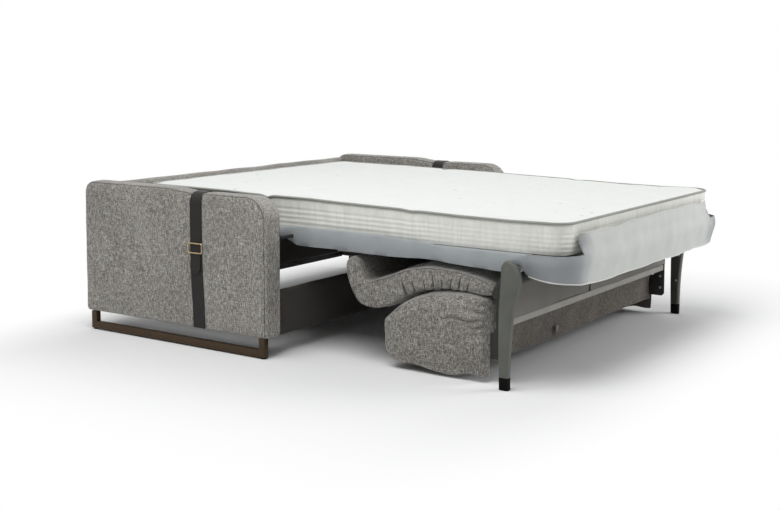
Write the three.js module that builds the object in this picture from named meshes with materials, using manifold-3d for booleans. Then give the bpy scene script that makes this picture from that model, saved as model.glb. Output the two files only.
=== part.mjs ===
// Sleeper sofa with a fold-out bed, shown with the bed open.
// Millimetres, +Z up. The front of the sofa and the foot of the bed face -Y.
// Places along the sofa are given as s, the distance forward from the rear plane of the arms.
// The bed folds in four stretches: head, middle, link and foot, hinged across the sofa.
import * as THREE from "three";
import { mergeVertices } from "three/addons/utils/BufferGeometryUtils.js";
import Module from "manifold-3d";

const wasm = await Module();
wasm.setup();

// Clearances
const TOUCH = 0.3; // between two pieces that lie on each other
const BORE_PLAY = 0.4; // radial play of a pin in its bore
const OVERRUN = 20; // how far a cutting tool runs past the material
const FREE = 6; // between pieces that move past each other

// Arms and body
const INNER_WIDTH = 1638; // between the arms
const ARM_THICKNESS = 88;
const ARM_LENGTH = 980;
const ARM_TOP = 616;
const ARM_BOTTOM = 77;
const ARM_FRONT_TOP = 605; // the top is lower from the strap forwards
const ARM_DIP_START = 455;
const ARM_DIP_END = 599;
const ARM_FRONT_RADIUS = 90;
const ARM_REAR_RADIUS = 48;
const ARM_EDGE = 22;
const BACK_THICKNESS = 45;
const BACK_BOTTOM = 100;
const BACK_TOP = 602;
const BACK_EDGE = 12;
const FRONT_RAIL_FACE = 958; // s of its front face
const FRONT_RAIL_THICKNESS = 33;
const FRONT_RAIL_TOP = 246;
const FRONT_RAIL_BOTTOM = 70;
const FRONT_RAIL_EDGE = 7;
const REAR_RAIL_DEPTH = 30;
const REAR_RAIL_HEIGHT = 24;
const REAR_RAIL_BOTTOM = 76;

// Sled under each arm
const SLED_START = 30;
const SLED_END = 967;
const SLED_TUBE_WIDTH = 25;
const SLED_BAR = 28;
const GLIDE_HEIGHT = 5;
const GLIDE_RADIUS = 11;

// Strap, tail and buckle
const STRAP_CENTRE = 630;
const STRAP_WIDTH = 61;
const STRAP_THICKNESS = 3.5;
const STRAP_INNER_BOTTOM = 330;
const STRAP_OUTER_BOTTOM = 80;
const TAIL_WIDTH = 52;
const TAIL_BOTTOM = 292;
const TAIL_TOP = 412;
const TAIL_THICKNESS = 3;
const BUCKLE_WIDTH = 75;
const BUCKLE_HEIGHT = 42;
const BUCKLE_CENTRE = 391;
const BUCKLE_WIRE = 5;
const BUCKLE_CORNER = 4;

// Bed stretches
const MATTRESS_WIDTH = 1350;
const MATTRESS_START = 132;
const HEAD_LENGTH = 662; // head end to the head hinge
const MIDDLE_LENGTH = 574.5; // head hinge to the first fold hinge
const LINK_LENGTH = 290; // between the two fold hinges
const FOOT_LENGTH = 424.5; // second fold hinge to the foot end
const HINGE_HEIGHT = 440;
const MATTRESS_THICKNESS = 123;
const MATTRESS_CORNER = 70;
const MATTRESS_EDGE = 9;
const BEND_ROOM = 146; // soft stretch in front of the head hinge
const BEND_BACK = 18; // soft stretch behind the head hinge
const FOLD_BACK = 14; // soft stretch behind and in front of the fold hinges
const FRAME_WIDTH = 1392;
const FRAME_CORNER = 40;
const TUBE_WIDTH = 22;
const TUBE_HEIGHT = 24;
const NET_THICKNESS = 2.5;
const NET_STRIP = 34;
const NET_GAPS_ACROSS = 8;
const NET_GAPS_ALONG = 4;
const HEAD_FRAME_INSET = 48; // from the mattress end to the frame end
const FOOT_FRAME_INSET = 8;
const COVER_THICKNESS = 2.5;
const COVER_LOWER = 403;
const COVER_UPPER = 470;
const COVER_WIDTH = 1410;
const COVER_SIDE = 5;
const LUG_THICKNESS = 21;
const LUG_STEP = 1;
const LUG_LENGTH = 90;
const LINK_THICKNESS = 17;
const LINK_HALF_WIDTH = 10;
const LINK_TUBE_RADIUS = 8;
const LINK_TUBE_DROP = 11;
const FOLD_PIN_RADIUS = 6;
const CHEEK_BOTTOM = 400;
const CHEEK_START = 1130;
const CHEEK_END = 1342;

// Swing arms and side plates
const PLATE_THICKNESS = 14;
const PLATE_START = 520;
const PLATE_END = 800;
const PLATE_TOP = 250;
const PLATE_BOTTOM = 77;
const PLATE_CORNER = 18;
const SWING_PIN_S = 940; // pin on the middle frame, bed open
const SWING_PIN_Z = 440;
const SWING_PIVOT_Z = 90;
const SWING_PIVOT_SET_BACK = 237.3; // how far the pivot lies behind the pin, bed open
const SWING_SPACING = 100; // between the front and the rear pair
const SWING_THICKNESS = 10;
const SWING_HALF_WIDTH = 13;
const SWING_PIN_RADIUS = 7;
const SWING_PLAY = 1.5;

// Legs
const LEG_SET_BACK = 168; // from the foot end back to the leg pivot
const LEG_PIVOT_Z = 410;
const LEG_TOP = 444;
const LEG_WIDTH = 66;
const LEG_THICKNESS = 26;
const LEG_SPACING = 1528;
const LEG_EDGE = 6;
const LEG_TIP_HEIGHT = 43;
const LEG_BOLT_RADIUS = 9;
const LEG_BORE_DEPTH = 20;

// Hangers, hinge rail and seat
const SEAT_PIN_SET_BACK = 55; // from the leg pivot back to the seat pin
const SEAT_PIN_Z = 320;
const SEAT_PIN_RADIUS = 9;
const EYE_RADIUS = 18;
const HANGER_THICKNESS = 11;
const HANGER_OUTER = 742;
const TONGUE_THICKNESS = 4;
const TONGUE_LENGTH = 116;
const TONGUE_RISE = 23;
const KNUCKLE_WIDTH = 90;
const KNUCKLE_SPACING = 430;
const SEAT_WIDTH = 1430;
const SEAT_SPLIT = 8;
const SEAT_DEPTH = 640;
const SEAT_DROP = 196;
const SEAT_NOSE_Z = 199;
const SEAT_ROUND = 17;

// Backrest
const BACKREST_WIDTH = 1484;
const BACKREST_SHARE = 0.68125; // height of the backrest as a share of the seat's depth
const BACKREST_DEPTH = 292;
const BACKREST_LOWEST = 8;
const BACKREST_END_GAP = 36; // from the seat pin to the near end of the backrest
const BACKREST_ROUND = 16;
const BACKREST_WALL = 32;
const BACKREST_END_WALL = 18;
const HOLLOW_HEIGHT = 210; // top of the hollow while the bed is open
const HOLLOW_MOUTH = 176; // top of the slot in the end wall
const CROSSBAR_DEPTH = 30;
const CROSSBAR_HEIGHT = 25;
const CROSSBAR_BOTTOM = 197;
const BRACKET_THICKNESS = 6;
const BRACKET_LENGTH = 120;
const BRACKET_LOWER = 84;
const BRACKET_CORNER = 10;
const CLOTH_THICKNESS = 4;
const CLOTH_LOWER = 73;
const CLOTH_SAG = 5;

// Foot flap of the bed cover
const FLAP_GAP = 42; // from the mattress end to the flap's front
const FLAP_RUN = 165; // from the flap's front back to where it starts
const FLAP_THICKNESS = 4;
const FLAP_CORNER = 95;
const FLAP_TOP = 530;
const FLAP_RISE = 34; // width of the slope at each end of the turned-up part
const FLAP_DIP = 362;
const FLAP_MIDDLE_DIP = 348;

// Derived places
const innerHalf = INNER_WIDTH / 2;
const outerHalf = innerHalf + ARM_THICKNESS;
const headHinge = MATTRESS_START + HEAD_LENGTH;
const foldHinge = headHinge + MIDDLE_LENGTH;
const footHinge = foldHinge + LINK_LENGTH;
const footEnd = footHinge + FOOT_LENGTH;
const legPivot = footEnd - LEG_SET_BACK;
const seatPin = legPivot - SEAT_PIN_SET_BACK;
const flapReach = footEnd + FLAP_GAP;
const flapStart = flapReach - FLAP_RUN;
const REAR_Y = flapReach / 2;
const backrestHeight = SEAT_DEPTH * BACKREST_SHARE;
const tubeTop = HINGE_HEIGHT + TUBE_HEIGHT / 2;
const tubeBottom = HINGE_HEIGHT - TUBE_HEIGHT / 2;
const netTop = tubeTop + TOUCH + NET_THICKNESS;
const coverTop = netTop + TOUCH + COVER_THICKNESS;
const mattressBottom = coverTop + TOUCH;
const frameHalf = FRAME_WIDTH / 2;
const coverHalf = COVER_WIDTH / 2;
const mattressHalf = MATTRESS_WIDTH / 2;
const swingPivot = SWING_PIN_S - SWING_PIVOT_SET_BACK;
const plateInner = innerHalf - TOUCH - PLATE_THICKNESS;
const rearSwingOuter = plateInner - SWING_PLAY;
const rearSwingInner = rearSwingOuter - SWING_THICKNESS;
const frontSwingOuter = rearSwingInner - SWING_PLAY;
const frontSwingInner = frontSwingOuter - SWING_THICKNESS;
const legInner = LEG_SPACING / 2 - LEG_THICKNESS / 2;
const legOuter = LEG_SPACING / 2 + LEG_THICKNESS / 2;
const tubeInner = frameHalf - TUBE_WIDTH;
const linkInner = frameHalf - LINK_THICKNESS;
const lugRadius = TUBE_HEIGHT / 2 - LUG_STEP;
const backrestNear = seatPin - BACKREST_END_GAP;
const backrestFar = backrestNear - backrestHeight;
const backrestHalf = BACKREST_WIDTH / 2;
const wallInner = backrestHalf - BACKREST_WALL;
const seatRear = seatPin - EYE_RADIUS - FREE / 2;
const bracketOuter = wallInner - TOUCH;
const bracketInner = bracketOuter - BRACKET_THICKNESS;

// Finishes
const material = (color, roughness, metalness) => new THREE.MeshStandardMaterial({ color, roughness, metalness });
const FABRIC = material(0x8c8984, 0.95, 0);
const LEATHER = material(0x37342f, 0.6, 0);
const BRONZE = material(0x3c2d1c, 0.4, 0.8);
const BRASS = material(0xa08a5a, 0.35, 0.9);
const LEG_PAINT = material(0x737570, 0.5, 0.2);
const STEEL = material(0x9a9b98, 0.45, 0.6);
const DARK_STEEL = material(0x2b2a28, 0.5, 0.5);
const BLACK_PLASTIC = material(0x151515, 0.5, 0);
const TICKING = material(0xf0f0ec, 0.9, 0);
const BED_CLOTH = material(0xb9bfc3, 0.85, 0);
const WEBBING = material(0x3a3a3a, 0.8, 0);
const DARK_CLOTH = material(0x5d5751, 0.95, 0);

const sofa = new THREE.Group();
sofa.name = "sleeper_sofa";

// Adds one named piece to the sofa
function piece(name, geometry, finish) {
  const mesh = new THREE.Mesh(geometry, finish);
  mesh.name = name;
  sofa.add(mesh);
  return mesh;
}

// Adds a piece on the right (+X) and its mirror image on the left, named stem_left and stem_right
function pair(stem, geometry, finish) {
  piece(`${stem}_right`, geometry, finish);
  piece(`${stem}_left`, mirrored(geometry), finish);
}

// The mirror image of a geometry across x = 0, with its faces turned back outwards
function mirrored(geometry) {
  const copy = geometry.index ? geometry.toNonIndexed() : geometry.clone();
  const p = copy.attributes.position;
  for (let i = 0; i < p.count; i += 3) {
    const [ax, ay, az] = [p.getX(i), p.getY(i), p.getZ(i)];
    p.setXYZ(i, -p.getX(i + 2), p.getY(i + 2), p.getZ(i + 2));
    p.setXYZ(i + 2, -ax, ay, az);
    p.setX(i + 1, -p.getX(i + 1));
  }
  copy.computeVertexNormals();
  return copy;
}

// Extrudes a shape by a depth, with an optional soft edge that stays inside the outline
function extruded(shape, depth, edge = 0, steps = 3, curveSegments = 6) {
  return new THREE.ExtrudeGeometry(shape, {
    depth: depth - 2 * edge,
    curveSegments,
    bevelEnabled: edge > 0,
    bevelThickness: edge,
    bevelSize: edge,
    bevelOffset: -edge,
    bevelSegments: steps,
  }).translate(0, 0, edge);
}

// Places an extrusion of a shape drawn in (s, z) between two x
function sideways(shape, x0, x1, edge, steps, curveSegments) {
  const basis = new THREE.Matrix4().makeBasis(
    new THREE.Vector3(0, -1, 0),
    new THREE.Vector3(0, 0, 1),
    new THREE.Vector3(-1, 0, 0),
  );
  return extruded(shape, x1 - x0, edge, steps, curveSegments).applyMatrix4(basis).translate(x1, REAR_Y, 0);
}

// Places an extrusion of a shape drawn in (x, z) between two s
function lengthways(shape, s0, s1, edge, steps, curveSegments) {
  const basis = new THREE.Matrix4().makeBasis(
    new THREE.Vector3(1, 0, 0),
    new THREE.Vector3(0, 0, 1),
    new THREE.Vector3(0, -1, 0),
  );
  return extruded(shape, s1 - s0, edge, steps, curveSegments).applyMatrix4(basis).translate(0, REAR_Y - s0, 0);
}

// Places an extrusion of a shape drawn in (x, s) between two z
function upright(shape, z0, z1, edge, steps, curveSegments) {
  const basis = new THREE.Matrix4().makeBasis(
    new THREE.Vector3(1, 0, 0),
    new THREE.Vector3(0, -1, 0),
    new THREE.Vector3(0, 0, -1),
  );
  return extruded(shape, z1 - z0, edge, steps, curveSegments).applyMatrix4(basis).translate(0, REAR_Y, z1);
}

// A closed shape with a radius at each corner: u0..u1 by v0..v1, radii at (u0,v0), (u1,v0), (u1,v1), (u0,v1)
function roundedShape(u0, u1, v0, v1, [ra, rb, rc, rd] = [0, 0, 0, 0]) {
  const shape = new THREE.Shape();
  shape.moveTo(u0 + ra, v0);
  shape.lineTo(u1 - rb, v0);
  if (rb > 0) shape.absarc(u1 - rb, v0 + rb, rb, -Math.PI / 2, 0);
  shape.lineTo(u1, v1 - rc);
  if (rc > 0) shape.absarc(u1 - rc, v1 - rc, rc, 0, Math.PI / 2);
  shape.lineTo(u0 + rd, v1);
  if (rd > 0) shape.absarc(u0 + rd, v1 - rd, rd, Math.PI / 2, Math.PI);
  shape.lineTo(u0, v0 + ra);
  if (ra > 0) shape.absarc(u0 + ra, v0 + ra, ra, Math.PI, 1.5 * Math.PI);
  return shape;
}

// A box between two x, two s and two z
function block(x0, x1, s0, s1, z0, z1, edge = 0) {
  return lengthways(roundedShape(x0, x1, z0, z1), s0, s1, edge);
}

// A round bar along X between two x
function rod(x0, x1, s, z, radius, sides = 16) {
  const bar = new THREE.CylinderGeometry(radius, radius, x1 - x0, sides);
  return bar.rotateZ(Math.PI / 2).translate((x0 + x1) / 2, REAR_Y - s, z);
}

// A flat bar in the (s, z) plane with round ends, from one eye to another
function barShape(s0, z0, s1, z1, half) {
  const angle = Math.atan2(z1 - z0, s1 - s0);
  const shape = new THREE.Shape();
  shape.absarc(s1, z1, half, angle - Math.PI / 2, angle + Math.PI / 2);
  shape.absarc(s0, z0, half, angle + Math.PI / 2, angle + 1.5 * Math.PI);
  return shape;
}

// Adds a round hole to a shape
function bored(shape, u, v, radius) {
  const hole = new THREE.Path();
  hole.absarc(u, v, radius, 0, 2 * Math.PI, true);
  shape.holes.push(hole);
  return shape;
}

// Solid modelling on closed geometries
function solid(geometry) {
  const bare = geometry.clone();
  for (const name of Object.keys(bare.attributes)) if (name !== "position") bare.deleteAttribute(name);
  const merged = mergeVertices(bare, TOUCH / 100);
  return new wasm.Manifold(
    new wasm.Mesh({
      numProp: 3,
      vertProperties: merged.attributes.position.array,
      triVerts: new Uint32Array(merged.index.array),
    }),
  );
}

function fromSolid(manifold) {
  const mesh = manifold.getMesh();
  const geometry = new THREE.BufferGeometry();
  geometry.setAttribute("position", new THREE.BufferAttribute(mesh.vertProperties, 3));
  geometry.setIndex(new THREE.BufferAttribute(mesh.triVerts, 1));
  geometry.computeVertexNormals();
  return geometry;
}

const joined = (...parts) => fromSolid(parts.map(solid).reduce((a, b) => a.add(b)));
const cut = (body, ...tools) => fromSolid(tools.map(solid).reduce((a, b) => a.subtract(b), solid(body)));

// A closed smooth outline through points given as shares of a length and a height
function smoothOutline(shares, s0, z0, length, height, count) {
  const through = shares.map(([u, v]) => new THREE.Vector3(s0 + u * length, z0 + v * height, 0));
  const curve = new THREE.CatmullRomCurve3(through, true, "centripetal");
  return curve.getSpacedPoints(count).slice(0, count).map((p) => new THREE.Vector2(p.x, p.y));
}

// The outline moved inwards along its normals
function inset(outline, distance) {
  const turn = Math.sign(THREE.ShapeUtils.area(outline));
  return outline.map((p, i) => {
    const before = outline[(i + outline.length - 1) % outline.length];
    const after = outline[(i + 1) % outline.length];
    const along = after.clone().sub(before).normalize();
    return new THREE.Vector2(p.x - turn * along.y * distance, p.y + turn * along.x * distance);
  });
}

// A stuffed piece: an (s, z) outline carried from x0 to x1, its ends drawn in with a round edge
function stuffed(outline, x0, x1, round, crown, endRings = 3, spanRings = 4) {
  const rings = [];
  const quarter = (i) => (i / endRings) * (Math.PI / 2);
  for (let i = 0; i <= endRings; i++)
    rings.push([x0 + round * (1 - Math.cos(quarter(i))), round * (1 - Math.sin(quarter(i)))]);
  for (let i = 1; i < spanRings; i++) {
    const share = i / spanRings;
    rings.push([x0 + round + (x1 - x0 - 2 * round) * share, -crown * Math.sin(Math.PI * share)]);
  }
  for (let i = endRings; i >= 0; i--)
    rings.push([x1 - round * (1 - Math.cos(quarter(i))), round * (1 - Math.sin(quarter(i)))]);
  return lofted(rings.map(([x, inwards]) => inset(outline, inwards).map((p) => [x, p.x, p.y])));
}

// Joins rings of (x, s, z) points, given in the order of rising x, into one closed body
function lofted(rings) {
  const count = rings[0].length;
  const flat = [];
  const face = (...corners) => corners.forEach(([x, s, z]) => flat.push(x, REAR_Y - s, z));
  const outlineOf = (ring) => ring.map(([, s, z]) => new THREE.Vector2(s, z));
  const clockwise = THREE.ShapeUtils.area(outlineOf(rings[0])) < 0;
  const side = (a, b, c) => (clockwise ? face(a, c, b) : face(a, b, c));
  for (let r = 0; r + 1 < rings.length; r++) {
    for (let i = 0; i < count; i++) {
      const j = (i + 1) % count;
      side(rings[r][i], rings[r + 1][i], rings[r + 1][j]);
      side(rings[r][i], rings[r + 1][j], rings[r][j]);
    }
  }
  const last = rings[rings.length - 1];
  const endFaces = (ring) => THREE.ShapeUtils.triangulateShape(outlineOf(ring), []);
  for (const [a, b, c] of endFaces(rings[0])) face(rings[0][a], rings[0][b], rings[0][c]);
  for (const [a, b, c] of endFaces(last)) face(last[a], last[c], last[b]);
  const geometry = new THREE.BufferGeometry();
  geometry.setAttribute("position", new THREE.Float32BufferAttribute(flat, 3));
  geometry.computeVertexNormals();
  return geometry;
}

// A sheet of cloth with a thickness: surface(u, v) gives a centre point, u and v run from 0 to 1
function sheet(surface, across, up, thickness) {
  const grid = [];
  const step = 1e-3;
  for (let i = 0; i <= across; i++) {
    for (let j = 0; j <= up; j++) {
      const [u, v] = [i / across, j / up];
      const centre = surface(u, v);
      const du = surface(Math.min(u + step, 1), v).sub(surface(Math.max(u - step, 0), v));
      const dv = surface(u, Math.min(v + step, 1)).sub(surface(u, Math.max(v - step, 0)));
      const normal = du.cross(dv).normalize().multiplyScalar(thickness / 2);
      grid.push([centre.clone().add(normal), centre.clone().sub(normal)]);
    }
  }
  const flat = [];
  const face = (...corners) => corners.forEach((c) => flat.push(...c.toArray()));
  const at = (i, j, side) => grid[i * (up + 1) + j][side];
  const quad = (a, b, c, d) => {
    face(a, b, c);
    face(a, c, d);
  };
  for (let i = 0; i < across; i++) {
    for (let j = 0; j < up; j++) {
      quad(at(i, j, 0), at(i + 1, j, 0), at(i + 1, j + 1, 0), at(i, j + 1, 0));
      quad(at(i, j, 1), at(i, j + 1, 1), at(i + 1, j + 1, 1), at(i + 1, j, 1));
    }
    quad(at(i, 0, 1), at(i + 1, 0, 1), at(i + 1, 0, 0), at(i, 0, 0));
    quad(at(i, up, 0), at(i + 1, up, 0), at(i + 1, up, 1), at(i, up, 1));
  }
  for (let j = 0; j < up; j++) {
    quad(at(0, j, 0), at(0, j + 1, 0), at(0, j + 1, 1), at(0, j, 1));
    quad(at(across, j, 1), at(across, j + 1, 1), at(across, j + 1, 0), at(across, j, 0));
  }
  const geometry = new THREE.BufferGeometry();
  geometry.setAttribute("position", new THREE.Float32BufferAttribute(flat, 3));
  geometry.computeVertexNormals();
  return geometry;
}

// Upholstered arms, back panel and rails
function addBody() {
  const armOutline = new THREE.Shape();
  const dipMiddle = (ARM_DIP_START + ARM_DIP_END) / 2;
  const [front, rear] = [ARM_FRONT_RADIUS, ARM_REAR_RADIUS];
  armOutline.moveTo(0, ARM_BOTTOM);
  armOutline.lineTo(ARM_LENGTH, ARM_BOTTOM);
  armOutline.absarc(ARM_LENGTH - front, ARM_FRONT_TOP - front, front, 0, Math.PI / 2);
  armOutline.lineTo(ARM_DIP_END, ARM_FRONT_TOP);
  armOutline.bezierCurveTo(dipMiddle, ARM_FRONT_TOP, dipMiddle, ARM_TOP, ARM_DIP_START, ARM_TOP);
  armOutline.absarc(rear, ARM_TOP - rear, rear, Math.PI / 2, Math.PI);
  pair("arm", sideways(armOutline, innerHalf, outerHalf, ARM_EDGE), FABRIC);
  const backReach = innerHalf - TOUCH;
  const backOutline = roundedShape(-backReach, backReach, BACK_BOTTOM, BACK_TOP);
  piece("back_panel", lengthways(backOutline, 0, BACK_THICKNESS, BACK_EDGE), FABRIC);
  const railOutline = roundedShape(-backReach, backReach, FRONT_RAIL_BOTTOM, FRONT_RAIL_TOP);
  const railBack = FRONT_RAIL_FACE - FRONT_RAIL_THICKNESS;
  piece("front_rail", lengthways(railOutline, railBack, FRONT_RAIL_FACE, FRONT_RAIL_EDGE, 2), DARK_CLOTH);
  const rearTop = BACK_BOTTOM - TOUCH;
  const rearRail = block(-backReach, backReach, FREE, FREE + REAR_RAIL_DEPTH, rearTop - REAR_RAIL_HEIGHT, rearTop);
  piece("rear_rail", rearRail, DARK_STEEL);
}

// Bronze sleds and their glides
function addSleds() {
  const top = ARM_BOTTOM - TOUCH;
  const bottom = GLIDE_HEIGHT + TOUCH;
  const [inner0, inner1, barTop] = [SLED_START + SLED_BAR, SLED_END - SLED_BAR, bottom + SLED_BAR];
  const corners = [
    [SLED_START, bottom],
    [SLED_END, bottom],
    [SLED_END, top],
    [inner1, top],
    [inner1, barTop],
    [inner0, barTop],
    [inner0, top],
    [SLED_START, top],
  ];
  const frame = new THREE.Shape(corners.map(([s, z]) => new THREE.Vector2(s, z)));
  pair("sled", sideways(frame, outerHalf - SLED_TUBE_WIDTH, outerHalf), BRONZE);
  const centreX = outerHalf - SLED_TUBE_WIDTH / 2;
  const glide = (s) =>
    new THREE.CylinderGeometry(GLIDE_RADIUS, GLIDE_RADIUS, GLIDE_HEIGHT, 20)
      .rotateX(Math.PI / 2)
      .translate(centreX, REAR_Y - s, GLIDE_HEIGHT / 2);
  pair("rear_glide", glide(SLED_START + SLED_BAR / 2), BLACK_PLASTIC);
  pair("front_glide", glide(SLED_END - SLED_BAR / 2), BLACK_PLASTIC);
}

// Leather strap over each arm, with its buckle and tail on the outer face
function addStraps() {
  const bandShape = new THREE.Shape();
  const reach = (edge, gap) => [innerHalf - gap, outerHalf + gap, ARM_FRONT_TOP + gap, edge + gap];
  const [i0, i1, itop, ir] = reach(ARM_EDGE, TOUCH);
  const [o0, o1, otop, or] = reach(ARM_EDGE, TOUCH + STRAP_THICKNESS);
  bandShape.moveTo(o1, STRAP_OUTER_BOTTOM);
  bandShape.lineTo(o1, otop - or);
  bandShape.absarc(o1 - or, otop - or, or, 0, Math.PI / 2);
  bandShape.lineTo(o0 + or, otop);
  bandShape.absarc(o0 + or, otop - or, or, Math.PI / 2, Math.PI);
  bandShape.lineTo(o0, STRAP_INNER_BOTTOM);
  bandShape.lineTo(i0, STRAP_INNER_BOTTOM);
  bandShape.lineTo(i0, itop - ir);
  bandShape.absarc(i0 + ir, itop - ir, ir, Math.PI, Math.PI / 2, true);
  bandShape.lineTo(i1 - ir, itop);
  bandShape.absarc(i1 - ir, itop - ir, ir, Math.PI / 2, 0, true);
  bandShape.lineTo(i1, STRAP_OUTER_BOTTOM);
  const start = STRAP_CENTRE - STRAP_WIDTH / 2;
  pair("strap", lengthways(bandShape, start, start + STRAP_WIDTH), LEATHER);

  const tailX = outerHalf + TOUCH + STRAP_THICKNESS + TOUCH;
  const tail = roundedShape(STRAP_CENTRE - TAIL_WIDTH / 2, STRAP_CENTRE + TAIL_WIDTH / 2, TAIL_BOTTOM, TAIL_TOP, [
    TAIL_WIDTH / 2,
    TAIL_WIDTH / 2,
    0,
    0,
  ]);
  pair("strap_tail", sideways(tail, tailX, tailX + TAIL_THICKNESS), LEATHER);

  const buckleX = tailX + TAIL_THICKNESS + TOUCH;
  const halfW = BUCKLE_WIDTH / 2;
  const halfH = BUCKLE_HEIGHT / 2;
  const corner = Array(4).fill(BUCKLE_CORNER);
  const frame = roundedShape(STRAP_CENTRE - halfW, STRAP_CENTRE + halfW, BUCKLE_CENTRE - halfH, BUCKLE_CENTRE + halfH, corner);
  const inner = new THREE.Path();
  const [b0, b1] = [STRAP_CENTRE - halfW + BUCKLE_WIRE, STRAP_CENTRE + halfW - BUCKLE_WIRE];
  const [c0, c1] = [BUCKLE_CENTRE - halfH + BUCKLE_WIRE, BUCKLE_CENTRE + halfH - BUCKLE_WIRE];
  inner.moveTo(b0, c0);
  inner.lineTo(b0, c1);
  inner.lineTo(b1, c1);
  inner.lineTo(b1, c0);
  frame.holes.push(inner);
  pair("buckle", sideways(frame, buckleX, buckleX + BUCKLE_WIRE), BRASS);
}

// A ladder of tube: two side tubes and evenly spaced cross tubes, with a radius at its rear and front corners
function ladder(s0, s1, crossTubes, rearRadius = 0, frontRadius = 0) {
  const half = frameHalf;
  const outline = roundedShape(-half, half, s0, s1, [rearRadius, rearRadius, frontRadius, frontRadius]);
  const span = (s1 - s0 - TUBE_WIDTH) / (crossTubes - 1);
  for (let i = 0; i + 1 < crossTubes; i++) {
    const from = s0 + i * span + TUBE_WIDTH;
    const to = s0 + (i + 1) * span;
    const gap = new THREE.Path();
    gap.moveTo(-half + TUBE_WIDTH, from);
    gap.lineTo(-half + TUBE_WIDTH, to);
    gap.lineTo(half - TUBE_WIDTH, to);
    gap.lineTo(half - TUBE_WIDTH, from);
    outline.holes.push(gap);
  }
  return upright(outline, tubeBottom, tubeTop);
}

// Elastic webbing laid on a frame
function webbing(s0, s1) {
  const half = frameHalf - TUBE_WIDTH / 2;
  const [low, high] = [tubeTop + TOUCH, netTop];
  const pitchX = (2 * half - NET_STRIP) / NET_GAPS_ACROSS;
  const pitchS = (s1 - s0 - NET_STRIP) / NET_GAPS_ALONG;
  const gaps = [];
  for (let i = 0; i < NET_GAPS_ACROSS; i++) {
    for (let j = 0; j < NET_GAPS_ALONG; j++) {
      const [x, s] = [-half + NET_STRIP + i * pitchX, s0 + NET_STRIP + j * pitchS];
      gaps.push(block(x, x + pitchX - NET_STRIP, s, s + pitchS - NET_STRIP, low - FREE, high + FREE));
    }
  }
  return cut(block(-half, half, s0, s1, low, high), ...gaps);
}

// The bed cloth over a stretch of frame: a thin web under the mattress and a skirt down each side
function coverStretch(s0, s1, lower = COVER_LOWER) {
  const webLow = netTop + TOUCH;
  const inner = coverHalf - COVER_SIDE;
  const shape = new THREE.Shape();
  const corners = [
    [coverHalf, lower],
    [coverHalf, COVER_UPPER],
    [inner, COVER_UPPER],
    [inner, coverTop],
    [-inner, coverTop],
    [-inner, COVER_UPPER],
    [-coverHalf, COVER_UPPER],
    [-coverHalf, lower],
    [-inner, lower],
    [-inner, webLow],
    [inner, webLow],
    [inner, lower],
  ];
  corners.forEach(([x, z], i) => (i ? shape.lineTo(x, z) : shape.moveTo(x, z)));
  return lengthways(shape, s0, s1);
}

// A stretch of mattress with round corners at its free end
function mattressStretch(s0, s1, headRadius, footRadius) {
  const shape = roundedShape(-mattressHalf, mattressHalf, s0, s1, [headRadius, headRadius, footRadius, footRadius]);
  return upright(shape, mattressBottom, mattressBottom + MATTRESS_THICKNESS, MATTRESS_EDGE, 2);
}

// One piece on the right and its mirror image on the left, both as geometries
const bothSides = (shape, x0, x1) => [sideways(shape, x0, x1), sideways(shape, -x1, -x0)];

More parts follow.
